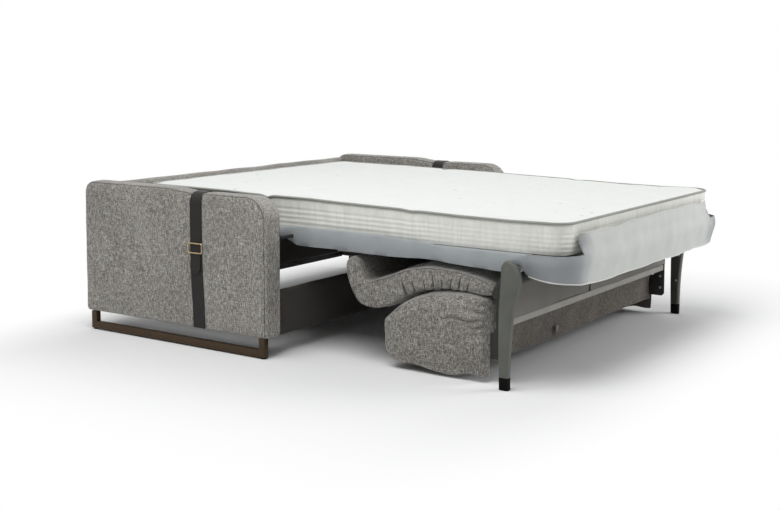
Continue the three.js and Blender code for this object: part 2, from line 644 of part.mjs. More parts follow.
// The bed: four stretches, each with its frame, webbing, cloth and mattress
function addBed() {
  const across = (s, z, radius) => rod(-outerHalf, outerHalf, s, z, radius);
  const pinBore = (s) => across(s, HINGE_HEIGHT, FOLD_PIN_RADIUS + BORE_PLAY);
  const lug = (s0, s1, half = lugRadius) => barShape(s0, HINGE_HEIGHT, s1, HINGE_HEIGHT, half);
  const seam = TOUCH * 2;
  const bendStart = headHinge - BEND_BACK;
  const bendEnd = headHinge + BEND_ROOM;
  const foldStart = foldHinge - FOLD_BACK;
  const foldEnd = footHinge + FOLD_BACK;

  // Head stretch
  const headFrameStart = MATTRESS_START + HEAD_FRAME_INSET;
  const headFrameEnd = headHinge - LUG_THICKNESS;
  const headEyes = bothSides(lug(headHinge - LUG_LENGTH, headHinge), tubeInner, frameHalf);
  const headBody = joined(ladder(headFrameStart, headFrameEnd, 4, FRAME_CORNER, 0), ...headEyes);
  piece("head_frame", cut(headBody, pinBore(headHinge)), STEEL);
  piece("head_webbing", webbing(headFrameStart + TUBE_WIDTH / 2, headFrameEnd - TUBE_WIDTH / 2), WEBBING);
  piece("head_cover", coverStretch(headFrameStart + TUBE_WIDTH, bendStart - seam, tubeBottom), BED_CLOTH);
  piece("mattress_head", mattressStretch(MATTRESS_START, bendStart - seam, MATTRESS_CORNER, 0), TICKING);

  // Middle stretch, with its hinge lugs and the cheeks under its side tubes
  const middleStart = headHinge + LUG_THICKNESS + FREE;
  const middleEnd = foldHinge - LUG_THICKNESS - FREE;
  const rearLugOuter = tubeInner - TOUCH;
  const lugOuter = linkInner - TOUCH;
  const cheek = new THREE.Shape();
  cheek.moveTo(CHEEK_START, HINGE_HEIGHT);
  cheek.lineTo(CHEEK_START + TUBE_WIDTH, CHEEK_BOTTOM);
  cheek.lineTo(CHEEK_END - TUBE_WIDTH / 2, CHEEK_BOTTOM);
  cheek.absarc(CHEEK_END - TUBE_WIDTH / 2, CHEEK_BOTTOM + TUBE_WIDTH / 2, TUBE_WIDTH / 2, -Math.PI / 2, 0);
  cheek.lineTo(CHEEK_END, HINGE_HEIGHT);
  const middleParts = [
    ...bothSides(cheek, tubeInner, frameHalf),
    ...bothSides(lug(headHinge, middleStart + LUG_LENGTH), rearLugOuter - LUG_THICKNESS, rearLugOuter),
    ...bothSides(lug(middleStart + LUG_LENGTH / 2, middleStart + LUG_LENGTH), rearLugOuter - LUG_THICKNESS, frameHalf),
    ...bothSides(lug(headHinge, headHinge, FOLD_PIN_RADIUS), rearLugOuter - LUG_THICKNESS, frameHalf),
    ...bothSides(lug(middleEnd - LUG_LENGTH, foldHinge), lugOuter - LUG_THICKNESS, lugOuter),
  ];
  const swingBores = [0, SWING_SPACING].map((back) =>
    across(SWING_PIN_S - back, SWING_PIN_Z, SWING_PIN_RADIUS + BORE_PLAY),
  );
  const middleBody = joined(ladder(middleStart, middleEnd, 4), ...middleParts);
  piece("middle_frame", cut(middleBody, pinBore(foldHinge), ...swingBores), STEEL);
  piece("middle_webbing", webbing(middleStart + TUBE_WIDTH / 2, middleEnd - TUBE_WIDTH / 2), WEBBING);
  const slots = [0, SWING_SPACING].map((back) => across(SWING_PIN_S - back, SWING_PIN_Z, SWING_PIN_RADIUS + FREE / 2));
  piece("middle_cover", cut(coverStretch(bendEnd, foldStart - seam), ...slots), BED_CLOTH);
  piece("mattress_middle", mattressStretch(bendEnd, foldStart - seam, 0, 0), TICKING);
  piece("bend_cover", cut(coverStretch(bendStart, bendEnd - seam), ...slots), BED_CLOTH);
  piece("mattress_bend", mattressStretch(bendStart, bendEnd - seam, 0, 0), TICKING);

  // Link stretch: two bars with their hinge pins, and a cross tube
  const link = joined(
    ...bothSides(lug(foldHinge, footHinge, LINK_HALF_WIDTH), linkInner, frameHalf),
    ...[foldHinge, footHinge].flatMap((s) =>
      bothSides(lug(s, s, FOLD_PIN_RADIUS), lugOuter - LUG_THICKNESS, linkInner + TOUCH),
    ),
    rod(-frameHalf, frameHalf, (foldHinge + footHinge) / 2, HINGE_HEIGHT - LINK_TUBE_DROP, LINK_TUBE_RADIUS),
  );
  piece("fold_link", link, STEEL);
  piece("fold_cover", coverStretch(foldStart, foldEnd - seam), BED_CLOTH);
  piece("mattress_fold", mattressStretch(foldStart, foldEnd - seam, 0, 0), TICKING);

  // Foot stretch, with the lugs that carry the legs
  const footStart = footHinge + LUG_THICKNESS + FREE;
  const footFrameEnd = footEnd - FOOT_FRAME_INSET;
  const legLug = barShape(legPivot, LEG_PIVOT_Z, legPivot, HINGE_HEIGHT, EYE_RADIUS);
  const footParts = [
    ...bothSides(lug(footHinge, footStart + LUG_LENGTH), lugOuter - LUG_THICKNESS, lugOuter),
    ...bothSides(legLug, tubeInner, frameHalf),
  ];
  const above = block(-outerHalf, outerHalf, footHinge, flapReach, tubeTop, tubeTop + OVERRUN);
  const legBore = across(legPivot, LEG_PIVOT_Z, LEG_BOLT_RADIUS + BORE_PLAY);
  const footBody = joined(ladder(footStart, footFrameEnd, 3, 0, FRAME_CORNER), ...footParts);
  piece("foot_frame", cut(footBody, pinBore(footHinge), legBore, above), STEEL);
  piece("foot_webbing", webbing(footStart + TUBE_WIDTH / 2, footFrameEnd - TUBE_WIDTH / 2), WEBBING);
  const overBolt = LEG_PIVOT_Z + LEG_BOLT_RADIUS + FREE / 2;
  piece("foot_cover", coverStretch(foldEnd, flapStart - seam, overBolt), BED_CLOTH);
  piece("mattress_foot", mattressStretch(foldEnd, footEnd, 0, MATTRESS_CORNER), TICKING);
}

// The end of the bed cloth, turned up round the foot of the mattress
function addFlap() {
  const half = coverHalf - FLAP_THICKNESS / 2;
  const front = flapReach - FLAP_THICKNESS / 2;
  const side = front - FLAP_CORNER - flapStart;
  const arc = (Math.PI / 2) * FLAP_CORNER;
  const width = 2 * (half - FLAP_CORNER);
  const total = 2 * side + 2 * arc + width;
  const plan = (u) => {
    const mirror = u > 0.5 ? 1 : -1;
    const run = Math.min(u, 1 - u) * total;
    if (run < side) return [mirror * half, flapStart + run];
    if (run < side + arc) {
      const angle = (run - side) / FLAP_CORNER;
      const [x, s] = [half - FLAP_CORNER + FLAP_CORNER * Math.cos(angle), front - FLAP_CORNER + FLAP_CORNER * Math.sin(angle)];
      return [mirror * x, s];
    }
    return [mirror * (half - FLAP_CORNER - (run - side - arc)), front];
  };
  const smooth = (t) => t * t * (3 - 2 * t);
  const surface = (u, v) => {
    const [x, s] = plan(u);
    const run = Math.min(u, 1 - u) * total;
    const round = smooth(THREE.MathUtils.clamp(run / (side + arc), 0, 1));
    const over = smooth(THREE.MathUtils.clamp((run - side - arc) / (width / 2), 0, 1));
    const low = THREE.MathUtils.lerp(THREE.MathUtils.lerp(COVER_LOWER, FLAP_DIP, round), FLAP_MIDDLE_DIP, over);
    const rise = smooth(THREE.MathUtils.clamp((run - side - arc) / FLAP_RISE, 0, 1));
    const high = THREE.MathUtils.lerp(COVER_UPPER, FLAP_TOP, rise);
    return new THREE.Vector3(x, REAR_Y - s, THREE.MathUtils.lerp(low, high, v));
  };
  piece("foot_flap", sheet(surface, 44, 4, FLAP_THICKNESS), BED_CLOTH);
}

// Side plates on the arms, and the two pairs of swing arms that carry the bed in and out
function addSwings() {
  const corners = Array(4).fill(PLATE_CORNER);
  const rearPivot = swingPivot - SWING_SPACING;
  const plate = roundedShape(PLATE_START, PLATE_END, PLATE_BOTTOM, PLATE_TOP, corners);
  bored(plate, swingPivot, SWING_PIVOT_Z, SWING_PIN_RADIUS + BORE_PLAY);
  bored(plate, rearPivot, SWING_PIVOT_Z, SWING_PIN_RADIUS + BORE_PLAY);
  pair("side_plate", sideways(plate, plateInner, innerHalf - TOUCH, 0, 0, 8), DARK_STEEL);

  const swing = (back, x0, x1) =>
    joined(
      sideways(barShape(swingPivot - back, SWING_PIVOT_Z, SWING_PIN_S - back, SWING_PIN_Z, SWING_HALF_WIDTH), x0, x1),
      rod(x0, innerHalf - TOUCH, swingPivot - back, SWING_PIVOT_Z, SWING_PIN_RADIUS),
      rod(tubeInner, x1, SWING_PIN_S - back, SWING_PIN_Z, SWING_PIN_RADIUS),
    );
  pair("front_swing", swing(0, frontSwingInner, frontSwingOuter), DARK_STEEL);
  pair("rear_swing", swing(SWING_SPACING, rearSwingInner, rearSwingOuter), DARK_STEEL);
}

// Folding legs, their plastic tips and pivot bolts
function addLegs() {
  // Outline as shares of the leg's width, from its pivot line, and of its height
  const legShares = [
    [-0.38, 0],
    [0.15, 0],
    [0.2, 0.3],
    [0.34, 0.56],
    [0.5, 0.7],
    [0.68, 0.785],
    [0.78, 0.85],
    [0.7, 0.915],
    [0.46, 0.967],
    [0.12, 1],
    [-0.16, 0.985],
    [-0.31, 0.93],
    [-0.31, 0.85],
    [-0.37, 0.73],
    [-0.43, 0.54],
    [-0.42, 0.26],
  ];
  const points = legShares.map(([u, v]) => new THREE.Vector2(legPivot + u * LEG_WIDTH, v * LEG_TOP));
  const outline = new THREE.Shape();
  outline.moveTo(points[0].x, points[0].y);
  outline.lineTo(points[1].x, points[1].y);
  outline.splineThru(points.slice(2));
  outline.lineTo(points[0].x, points[0].y);
  const whole = sideways(outline, legInner, legOuter, LEG_EDGE, 2, 2);
  const split = (z0, z1) => block(0, legOuter + OVERRUN, legPivot - LEG_WIDTH, legPivot + LEG_WIDTH, z0, z1);
  const bore = rod(0, legInner + LEG_BORE_DEPTH + TOUCH, legPivot, LEG_PIVOT_Z, LEG_BOLT_RADIUS + BORE_PLAY);
  const leg = cut(whole, split(-OVERRUN, LEG_TIP_HEIGHT + TOUCH), bore);
  const tip = cut(whole, split(LEG_TIP_HEIGHT, LEG_TOP + OVERRUN));
  pair("leg", leg, LEG_PAINT);
  pair("leg_tip", tip, BLACK_PLASTIC);
  const boltHead = tubeInner - TOUCH;
  const bolt = joined(
    rod(boltHead - FREE, legInner + LEG_BORE_DEPTH, legPivot, LEG_PIVOT_Z, LEG_BOLT_RADIUS),
    rod(boltHead - FREE, boltHead, legPivot, LEG_PIVOT_Z, LEG_BOLT_RADIUS + BUCKLE_WIRE, 6),
  );
  pair("leg_bolt", bolt, STEEL);
}

// Hangers from the leg bolts down to the hinge rod, and the hinge plate that holds the seat cushions
function addSeat() {
  const hanger = barShape(seatPin, SEAT_PIN_Z, legPivot, LEG_PIVOT_Z, EYE_RADIUS);
  bored(hanger, seatPin, SEAT_PIN_Z, SEAT_PIN_RADIUS + BORE_PLAY);
  bored(hanger, legPivot, LEG_PIVOT_Z, LEG_BOLT_RADIUS + BORE_PLAY);
  pair("hanger", sideways(hanger, HANGER_OUTER - HANGER_THICKNESS, HANGER_OUTER, 0, 0, 8), DARK_STEEL);

  const rodReach = HANGER_OUTER;
  piece("hinge_rod", rod(-rodReach, rodReach, seatPin, SEAT_PIN_Z, SEAT_PIN_RADIUS), STEEL);

  const slopeShape = (grow) => {
    const [near, far] = [seatPin, seatRear - TONGUE_LENGTH - grow];
    const half = TONGUE_THICKNESS / 2 + grow;
    const shape = new THREE.Shape();
    shape.moveTo(near, SEAT_PIN_Z - half);
    shape.lineTo(near, SEAT_PIN_Z + half);
    shape.lineTo(far, SEAT_PIN_Z + TONGUE_RISE + half);
    shape.lineTo(far, SEAT_PIN_Z + TONGUE_RISE - half);
    return shape;
  };
  const tongueReach = bracketInner - FREE;
  const knuckles = [-1, 0, 1].map((place) => {
    const centre = place * KNUCKLE_SPACING;
    const eye = barShape(seatPin, SEAT_PIN_Z, seatPin, SEAT_PIN_Z, EYE_RADIUS);
    return sideways(eye, centre - KNUCKLE_WIDTH / 2, centre + KNUCKLE_WIDTH / 2);
  });
  const plate = joined(sideways(slopeShape(0), -tongueReach, tongueReach), ...knuckles);
  const trim = [-1, 1].flatMap((side) => {
    const inner = KNUCKLE_WIDTH / 2;
    const outer = KNUCKLE_SPACING - inner;
    const [a, b] = side > 0 ? [inner, outer] : [-outer, -inner];
    const end = side > 0 ? [KNUCKLE_SPACING + inner, tongueReach + OVERRUN] : [-tongueReach - OVERRUN, -KNUCKLE_SPACING - inner];
    const low = SEAT_PIN_Z - EYE_RADIUS;
    const high = SEAT_PIN_Z + EYE_RADIUS;
    return [
      block(a, b, seatPin - EYE_RADIUS, seatPin + EYE_RADIUS, low, high),
      block(...end, seatPin - EYE_RADIUS, seatPin + EYE_RADIUS, low, high),
    ];
  });
  const rodBore = rod(-outerHalf, outerHalf, seatPin, SEAT_PIN_Z, SEAT_PIN_RADIUS + BORE_PLAY);
  piece("seat_hinge_plate", cut(plate, rodBore, ...trim), DARK_STEEL);

  // Side outline of a cushion, bed open: the apron points up, the nose hangs lowest
  const seatShares = [
    [0.036, 0.975],
    [0.008, 0.88],
    [0, 0.72],
    [0.022, 0.52],
    [0.053, 0.285],
    [0.1, 0.08],
    [0.16, 0],
    [0.237, 0.02],
    [0.333, 0.128],
    [0.41, 0.3],
    [0.5, 0.434],
    [0.61, 0.53],
    [0.72, 0.55],
    [0.845, 0.545],
    [0.95, 0.53],
    [0.995, 0.56],
    [1, 0.65],
    [0.985, 0.745],
    [0.925, 0.865],
    [0.82, 0.925],
    [0.695, 0.94],
    [0.545, 0.91],
    [0.43, 0.83],
    [0.34, 0.72],
    [0.25, 0.612],
    [0.178, 0.545],
    [0.14, 0.6],
    [0.115, 0.78],
    [0.095, 0.94],
    [0.066, 1],
  ];
  const outline = smoothOutline(seatShares, seatRear - SEAT_DEPTH, SEAT_NOSE_Z, SEAT_DEPTH, SEAT_DROP, 52);
  const cushion = stuffed(outline, SEAT_SPLIT / 2, SEAT_WIDTH / 2, SEAT_ROUND, 0);
  const slot = sideways(slopeShape(TOUCH), -tongueReach - TOUCH, tongueReach + TOUCH);
  pair("seat_cushion", cut(cushion, slot), FABRIC);
}

// Hollow upholstered backrest, its cross tube, its hinge brackets and the cloth over its open end
function addBackrest() {
  const backrestShares = [
    [1, 0.07],
    [0.985, 0.045],
    [0.81, 0.05],
    [0.69, 0.004],
    [0.58, 0],
    [0.34, 0.042],
    [0.115, 0.075],
    [0.03, 0.165],
    [0, 0.34],
    [0, 0.545],
    [0.02, 0.61],
    [0.18, 0.79],
    [0.34, 0.91],
    [0.5, 0.974],
    [0.66, 0.998],
    [0.86, 0.995],
    [0.965, 0.975],
    [1, 0.93],
    [1, 0.6],
    [1, 0.3],
  ];
  const outline = smoothOutline(backrestShares, backrestFar, BACKREST_LOWEST, backrestHeight, BACKREST_DEPTH, 56);
  const block0 = stuffed(outline, -backrestHalf, backrestHalf, BACKREST_ROUND, 0, 3, 8);
  const endInner = backrestNear - BACKREST_END_WALL;
  const hollowShares = [
    [0.14, 0],
    [0.14, 0.7],
    [0.27, 0.97],
    [0.4, 1],
  ];
  const hollow = new THREE.Shape();
  hollow.moveTo(backrestNear + OVERRUN, -OVERRUN);
  for (const [u, v] of hollowShares)
    hollow.lineTo(backrestFar + u * backrestHeight, v === 0 ? -OVERRUN : v * HOLLOW_HEIGHT);
  hollow.lineTo(endInner, HOLLOW_HEIGHT);
  hollow.lineTo(endInner, HOLLOW_MOUTH);
  hollow.lineTo(backrestNear + OVERRUN, HOLLOW_MOUTH);
  piece("backrest_shell", cut(block0, sideways(hollow, -wallInner, wallInner)), FABRIC);

  const barStart = seatPin - CROSSBAR_DEPTH / 2;
  const crossbar = block(
    -bracketInner + TOUCH,
    bracketInner - TOUCH,
    barStart,
    barStart + CROSSBAR_DEPTH,
    CROSSBAR_BOTTOM,
    CROSSBAR_BOTTOM + CROSSBAR_HEIGHT,
    FREE / 2,
  );
  piece("backrest_crossbar", crossbar, LEG_PAINT);

  const eyeLow = CROSSBAR_BOTTOM;
  const bracket = new THREE.Shape();
  bracket.moveTo(endInner - BRACKET_LENGTH, HOLLOW_MOUTH - BRACKET_CORNER);
  bracket.lineTo(endInner - BRACKET_LENGTH, BRACKET_LOWER + BRACKET_CORNER);
  bracket.lineTo(endInner - BRACKET_LENGTH + BRACKET_CORNER, BRACKET_LOWER);
  bracket.lineTo(seatPin + EYE_RADIUS - BRACKET_CORNER, BRACKET_LOWER);
  bracket.lineTo(seatPin + EYE_RADIUS, BRACKET_LOWER + BRACKET_CORNER);
  bracket.lineTo(seatPin + EYE_RADIUS, SEAT_PIN_Z);
  bracket.absarc(seatPin, SEAT_PIN_Z, EYE_RADIUS, 0, Math.PI);
  bracket.lineTo(seatPin - EYE_RADIUS, eyeLow);
  bracket.lineTo(backrestNear + FREE / 2, HOLLOW_MOUTH - FREE / 2);
  bored(bracket, seatPin, SEAT_PIN_Z, SEAT_PIN_RADIUS + BORE_PLAY);
  pair("backrest_bracket", sideways(bracket, bracketInner, bracketOuter, 0, 0, 8), DARK_STEEL);

  const clothHalf = bracketInner - FREE;
  const clothTop = HOLLOW_MOUTH - TOUCH * 2;
  const cloth = (u, v) => {
    const sag = CLOTH_SAG * Math.sin(Math.PI * v) * Math.sin(Math.PI * u);
    const x = THREE.MathUtils.lerp(-clothHalf, clothHalf, u);
    const s = backrestNear - BACKREST_END_WALL / 2 - sag;
    return new THREE.Vector3(x, REAR_Y - s, THREE.MathUtils.lerp(CLOTH_LOWER, clothTop, v));
  };
  piece("backrest_end_cloth", sheet(cloth, 12, 4, CLOTH_THICKNESS), DARK_CLOTH);
}

addBody();
addSleds();
addStraps();
addBed();
addFlap();
addSwings();
addLegs();
addSeat();
addBackrest();

export default sofa;
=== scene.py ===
"""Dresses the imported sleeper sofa, shown with its bed pulled out.

Lengths are in metres. Places along the sofa are given as s, the distance
forward from the rear plane of the arms, so a point is (x, s, z) until it is
turned into the row frame.
"""
import logging
import math
from contextlib import contextmanager
from dataclasses import dataclass, field
from enum import Enum
from typing import Callable, Iterable, Iterator, Optional, Sequence, Union

import bmesh
import bpy
import numpy as np
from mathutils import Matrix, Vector
from mathutils.bvhtree import BVHTree
from mathutils.kdtree import KDTree


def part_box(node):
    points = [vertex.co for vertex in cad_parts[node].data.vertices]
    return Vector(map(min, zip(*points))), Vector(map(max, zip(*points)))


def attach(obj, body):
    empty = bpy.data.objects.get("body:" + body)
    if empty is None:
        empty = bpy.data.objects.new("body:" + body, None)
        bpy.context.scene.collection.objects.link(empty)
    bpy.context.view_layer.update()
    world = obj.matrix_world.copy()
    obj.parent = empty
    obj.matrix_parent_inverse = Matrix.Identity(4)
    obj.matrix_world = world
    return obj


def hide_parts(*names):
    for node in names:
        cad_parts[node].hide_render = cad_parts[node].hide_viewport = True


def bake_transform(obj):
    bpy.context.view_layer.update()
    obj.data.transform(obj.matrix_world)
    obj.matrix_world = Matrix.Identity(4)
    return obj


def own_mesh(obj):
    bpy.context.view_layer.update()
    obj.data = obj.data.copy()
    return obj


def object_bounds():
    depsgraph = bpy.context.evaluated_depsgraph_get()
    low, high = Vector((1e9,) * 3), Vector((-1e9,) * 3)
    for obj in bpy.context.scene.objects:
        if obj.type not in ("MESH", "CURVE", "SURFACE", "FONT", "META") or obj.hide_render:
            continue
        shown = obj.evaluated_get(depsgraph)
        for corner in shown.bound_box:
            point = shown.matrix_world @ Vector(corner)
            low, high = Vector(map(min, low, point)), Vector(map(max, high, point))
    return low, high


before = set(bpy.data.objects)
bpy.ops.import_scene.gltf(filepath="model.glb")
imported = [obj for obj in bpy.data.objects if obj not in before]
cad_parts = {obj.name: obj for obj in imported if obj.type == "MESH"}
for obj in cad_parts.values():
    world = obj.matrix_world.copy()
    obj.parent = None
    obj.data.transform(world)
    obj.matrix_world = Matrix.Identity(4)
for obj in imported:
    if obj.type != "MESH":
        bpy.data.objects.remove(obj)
CAD_LOW, CAD_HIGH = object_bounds()
REAR_Y = CAD_HIGH.y
LOG = logging.getLogger("sleeper_sofa")
FACING = 0.6  # share of a normal beyond which a face counts as facing a way
TINY = 1e-9

Array = np.ndarray
Colour = Point = tuple[float, float, float]
Outline = tuple[tuple[float, float], ...]
Piece, Material = bpy.types.Object, bpy.types.Material
Tree, Node, Socket = bpy.types.NodeTree, bpy.types.Node, bpy.types.NodeSocket


# Geometry helpers


def to_row(points: Array) -> Array:
    """Turns an array of (x, s, z) points into the row frame."""
    out = np.array(points, float)
    out[..., 1] = REAR_Y - out[..., 1]
    return out


def row_point(x: float, s: float, z: float) -> Point:
    """One (x, s, z) point in the row frame."""
    return (x, REAR_Y - s, z)


def srgb(red: int, green: int, blue: int) -> Colour:
    """Turns a screen colour into linear light.

    Args:
        red, green, blue: 0 to 255.

    Returns:
        Linear red, green and blue.
    """
    def one(value: int) -> float:
        """Linear value of one channel."""
        share = value / 255
        return share / 12.92 if share <= 0.04045 else ((share + 0.055) / 1.055) ** 2.4

    return (one(red), one(green), one(blue))


def scaled(colour: Colour, factor: float) -> Colour:
    """A colour made darker or paler, up to white."""
    return tuple(min(1.0, c * factor) for c in colour)


def smooth(t: Union[float, Array], low: float = 0.0, high: float = 1.0) -> Array:
    """Smooth step from 0 at low to 1 at high."""
    share = np.clip((np.asarray(t, float) - low) / (high - low), 0, 1)
    return share * share * (3 - 2 * share)


def ripple(u: Array, v: Array, size: float, seed: int, count: int = 9) -> Array:
    """A smooth uneven field made of waves with fixed directions.

    Args:
        u, v: places, in metres.
        size: typical distance between crests.
        seed: which field.
        count: how many waves are added.

    Returns:
        Values of about -1 to 1.
    """
    rng = np.random.default_rng(seed)
    total = np.zeros(np.broadcast(u, v).shape)
    for _ in range(count):
        turn, phase = rng.uniform(0, 2 * math.pi, 2)
        pitch = 2 * math.pi / (size * rng.uniform(0.7, 1.6))
        total += np.sin(pitch * (u * math.cos(turn) + v * math.sin(turn)) + phase)
    return total / math.sqrt(count)


def run_along(line: Array) -> Array:
    """Distance of each point of a line from its first, measured along it."""
    steps = np.linalg.norm(np.diff(line, axis=0), axis=1)
    return np.concatenate([[0], np.cumsum(steps)])


def even(line: Array, count: int, last: bool = True) -> Array:
    """Evenly spaced points along a line of points, with or without its last one."""
    run = run_along(line)
    where = np.linspace(0, run[-1], count, endpoint=last)
    return np.column_stack([np.interp(where, run, line[:, k]) for k in range(line.shape[1])])


def spline(points: Sequence[tuple[float, ...]], count: int) -> Array:
    """Evenly spaced points on a smooth open curve through the given ones.

    Args:
        points: at least three (u, v) pairs.
        count: how many to return.

    Returns:
        Array of count rows.
    """
    p = np.array(points, float)
    ext = np.vstack([2 * p[0] - p[1], p, 2 * p[-1] - p[-2]])
    fine = []
    for i in range(1, len(ext) - 2):
        a, b, c, d = ext[i - 1:i + 3]
        t = np.linspace(0, 1, 24, endpoint=False)[:, None]
        fine.append(0.5 * (2 * b + (c - a) * t + (2 * a - 5 * b + 4 * c - d) * t**2
                           + (3 * b - a - 3 * c + d) * t**3))
    return even(np.vstack([*fine, p[-1:]]), count)


def closed_spline(points: Sequence[tuple[float, float]], count: int) -> Array:
    """Evenly spaced points on a smooth closed curve through the given ones."""
    p = list(points)
    looped = spline([*p[-3:], *p, *p[:3]], count * 4)
    first = int(np.argmin(np.linalg.norm(looped[: count * 2] - np.array(p[0]), axis=1)))
    tail = looped[first + count:]
    last = first + count + int(np.argmin(np.linalg.norm(tail - np.array(p[0]), axis=1)))
    return even(looped[first:last + 1], count, last=False)


def read(items: bpy.types.bpy_prop_collection, key: str, width: int = 3) -> Array:
    """A property of many mesh elements, as one row for each."""
    flat = np.empty(len(items) * width)
    items.foreach_get(key, flat)
    return flat.reshape(-1, width)


@contextmanager
def edited(mesh: bpy.types.Mesh) -> Iterator[bmesh.types.BMesh]:
    """Opens a mesh for editing, and writes it back afterwards."""
    work = bmesh.new()
    work.from_mesh(mesh)
    yield work
    work.to_mesh(mesh)
    work.free()


class Maker:
    """Makes plain mesh objects whose place is in their vertices."""

    @staticmethod
    def from_faces(name: str, points: Array, faces: Iterable[Sequence[int]],
                   soft: bool = True) -> Piece:
        """Makes an object from points in the row frame.

        Args:
            name: object name.
            points: n by 3 array.
            faces: vertex numbers of each face.
            soft: whether the faces are smooth shaded.

        Returns:
            The new object, linked to the scene.
        """
        mesh = bpy.data.meshes.new(name)
        mesh.from_pydata([tuple(p) for p in points], [], [tuple(f) for f in faces])
        mesh.validate()
        return Maker.soften(Maker.adopt(name, mesh), soft)

    @staticmethod
    def adopt(name: str, data: bpy.types.ID) -> Piece:
        """Links a mesh, lamp or camera to the scene as an object at the origin."""
        made = bpy.data.objects.new(name, data)
        bpy.context.scene.collection.objects.link(made)
        return made

    @staticmethod
    def outward(made: Piece, merge: float = 0.0) -> Piece:
        """Merges doubles and turns every face outwards."""
        with edited(made.data) as work:
            if merge:
                bmesh.ops.remove_doubles(work, verts=work.verts, dist=merge)
            bmesh.ops.recalc_face_normals(work, faces=work.faces)
            if work.calc_volume(signed=True) < 0:
                bmesh.ops.reverse_faces(work, faces=work.faces)
        return made

    @staticmethod
    def soften(made: Piece, soft: bool = True) -> Piece:
        """Shades every face smooth, or flat."""
        for polygon in made.data.polygons:
            polygon.use_smooth = soft
        return made

    @staticmethod
    def sharpen(made: Piece, degrees: float) -> Piece:
        """Marks the edges that turn by more than an angle as sharp."""
        made.data.set_sharp_from_angle(angle=math.radians(degrees))
        return made

    @staticmethod
    def grid_faces(rows: int, columns: int, close_columns: bool = False) -> list[tuple[int, ...]]:
        """Quads of a grid whose vertices are stored row by row."""
        faces = []
        for i in range(rows - 1):
            for j in range(columns if close_columns else columns - 1):
                near, far = i * columns, (i + 1) * columns
                k = (j + 1) % columns
                faces.append((near + j, near + k, far + k, far + j))
        return faces

    @staticmethod
    def loft(name: str, rings: Array) -> Piece:
        """Joins closed rings of points into one shell with a point at the middle of each end.

        Args:
            name: object name.
            rings: array of rings by (x, s, z) points.

        Returns:
            The shell, with its faces outwards.
        """
        count, size = rings.shape[:2]
        ends = np.array([rings[0].mean(0), rings[-1].mean(0)])
        points = to_row(np.vstack([rings.reshape(-1, 3), ends]))
        faces = Maker.grid_faces(count, size, close_columns=True)
        base, last = count * size, (count - 1) * size
        for j in range(size):
            k = (j + 1) % size
            faces.append((base, k, j))
            faces.append((base + 1, last + j, last + k))
        return Maker.outward(Maker.from_faces(name, points, faces))

    @staticmethod
    def prism(name: str, outline: Sequence[tuple[float, float]], ends: tuple[float, float]) -> Piece:
        """A flat-faced solid: an (s, z) outline drawn out between two x."""
        points = np.array([(x, s, z) for x in ends for s, z in outline])
        size = len(outline)
        faces = [tuple(range(size)), tuple(range(2 * size - 1, size - 1, -1))]
        faces += [(k, size + k, size + (k + 1) % size, (k + 1) % size) for k in range(size)]
        return Maker.outward(Maker.from_faces(name, to_row(points), faces, soft=False))

    @staticmethod
    def sheet(name: str, surface: Array, thickness: float, body: str, held: str,
              rests_on: Sequence[str]) -> Piece:
        """Args:
            name: object name.
            surface: rows by columns by 3.
            thickness: of the cloth.
            body: the body it rides on, or an empty word where the caller sees to it.
            rests_on: names of what it lies on; not used.

        Returns:
            The cloth.
        """
        faces = Maker.grid_faces(*surface.shape[:2])
        made = Maker.from_faces(name, to_row(surface.reshape(-1, 3)), faces)
        wall = made.modifiers.new("wall", "SOLIDIFY")
        wall.thickness, wall.offset, wall.use_even_offset = thickness, 0, True
        Maker.sharpen(Maker.outward(Maker.bake(made)), 55)
        if body:
            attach(made, body)
        return made

    @staticmethod
    def result(made: Piece) -> bpy.types.Mesh:
        """The plain mesh that an object's modifiers give."""
        bpy.context.view_layer.update()
        graph = bpy.context.evaluated_depsgraph_get()
        return bpy.data.meshes.new_from_object(made.evaluated_get(graph), depsgraph=graph)

    @staticmethod
    def bake(made: Piece) -> Piece:
        """Turns an object's modifiers into plain mesh."""
        mesh = Maker.result(made)
        made.modifiers.clear()
        made.data = mesh
        return made

    @staticmethod
    def points(made: Piece) -> Array:
        """The object's vertices as (x, s, z)."""
        return to_row(read(made.data.vertices, "co"))

    @staticmethod
    def normals(made: Piece) -> Array:
        """The object's vertex normals as (x, s, z)."""
        out = read(made.data.vertex_normals, "vector")
        out[:, 1] *= -1
        return out

    @staticmethod
    def away(points: Array, path: Array) -> Array:
        """How far each point is from the nearest point of a path."""
        tree = KDTree(len(path))
        for k, place in enumerate(path):
            tree.insert(place, k)
        tree.balance()
        return np.array([tree.find(q)[2] for q in points])

    @staticmethod
    def laid(on: Piece, path: Array, lift: float) -> Array:
        """Moves a path of (x, s, z) points onto an object's surface.

        Args:
            on: the object.
            path: the points.
            lift: how far above the surface they come to lie.

        Returns:
            The moved points.
        """
        corners = [v.co for v in on.data.vertices]
        tree = BVHTree.FromPolygons(corners, [tuple(f.vertices) for f in on.data.polygons])
        found = [tree.find_nearest(Vector(q)) for q in to_row(path)]
        return to_row(np.array([tuple(place + normal * lift) for place, normal, _, _ in found]))

    @staticmethod
    def place(made: Piece, points: Array) -> None:
        """Moves the object's vertices to (x, s, z) points."""
        made.data.vertices.foreach_set("co", to_row(points).ravel())
        made.data.update()

    @staticmethod
    def copy_node(node: str, name: str) -> Piece:
        """A merged copy of a solid's mesh, to be reshaped."""
        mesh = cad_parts[node].data.copy()
        mesh.materials.clear()
        made = Maker.adopt(name, mesh)
        flat = math.radians(0.6)
        with edited(mesh) as work:
            bmesh.ops.remove_doubles(work, verts=work.verts, dist=2e-6)
            bmesh.ops.dissolve_limit(work, angle_limit=flat, verts=work.verts, edges=work.edges)
        return made

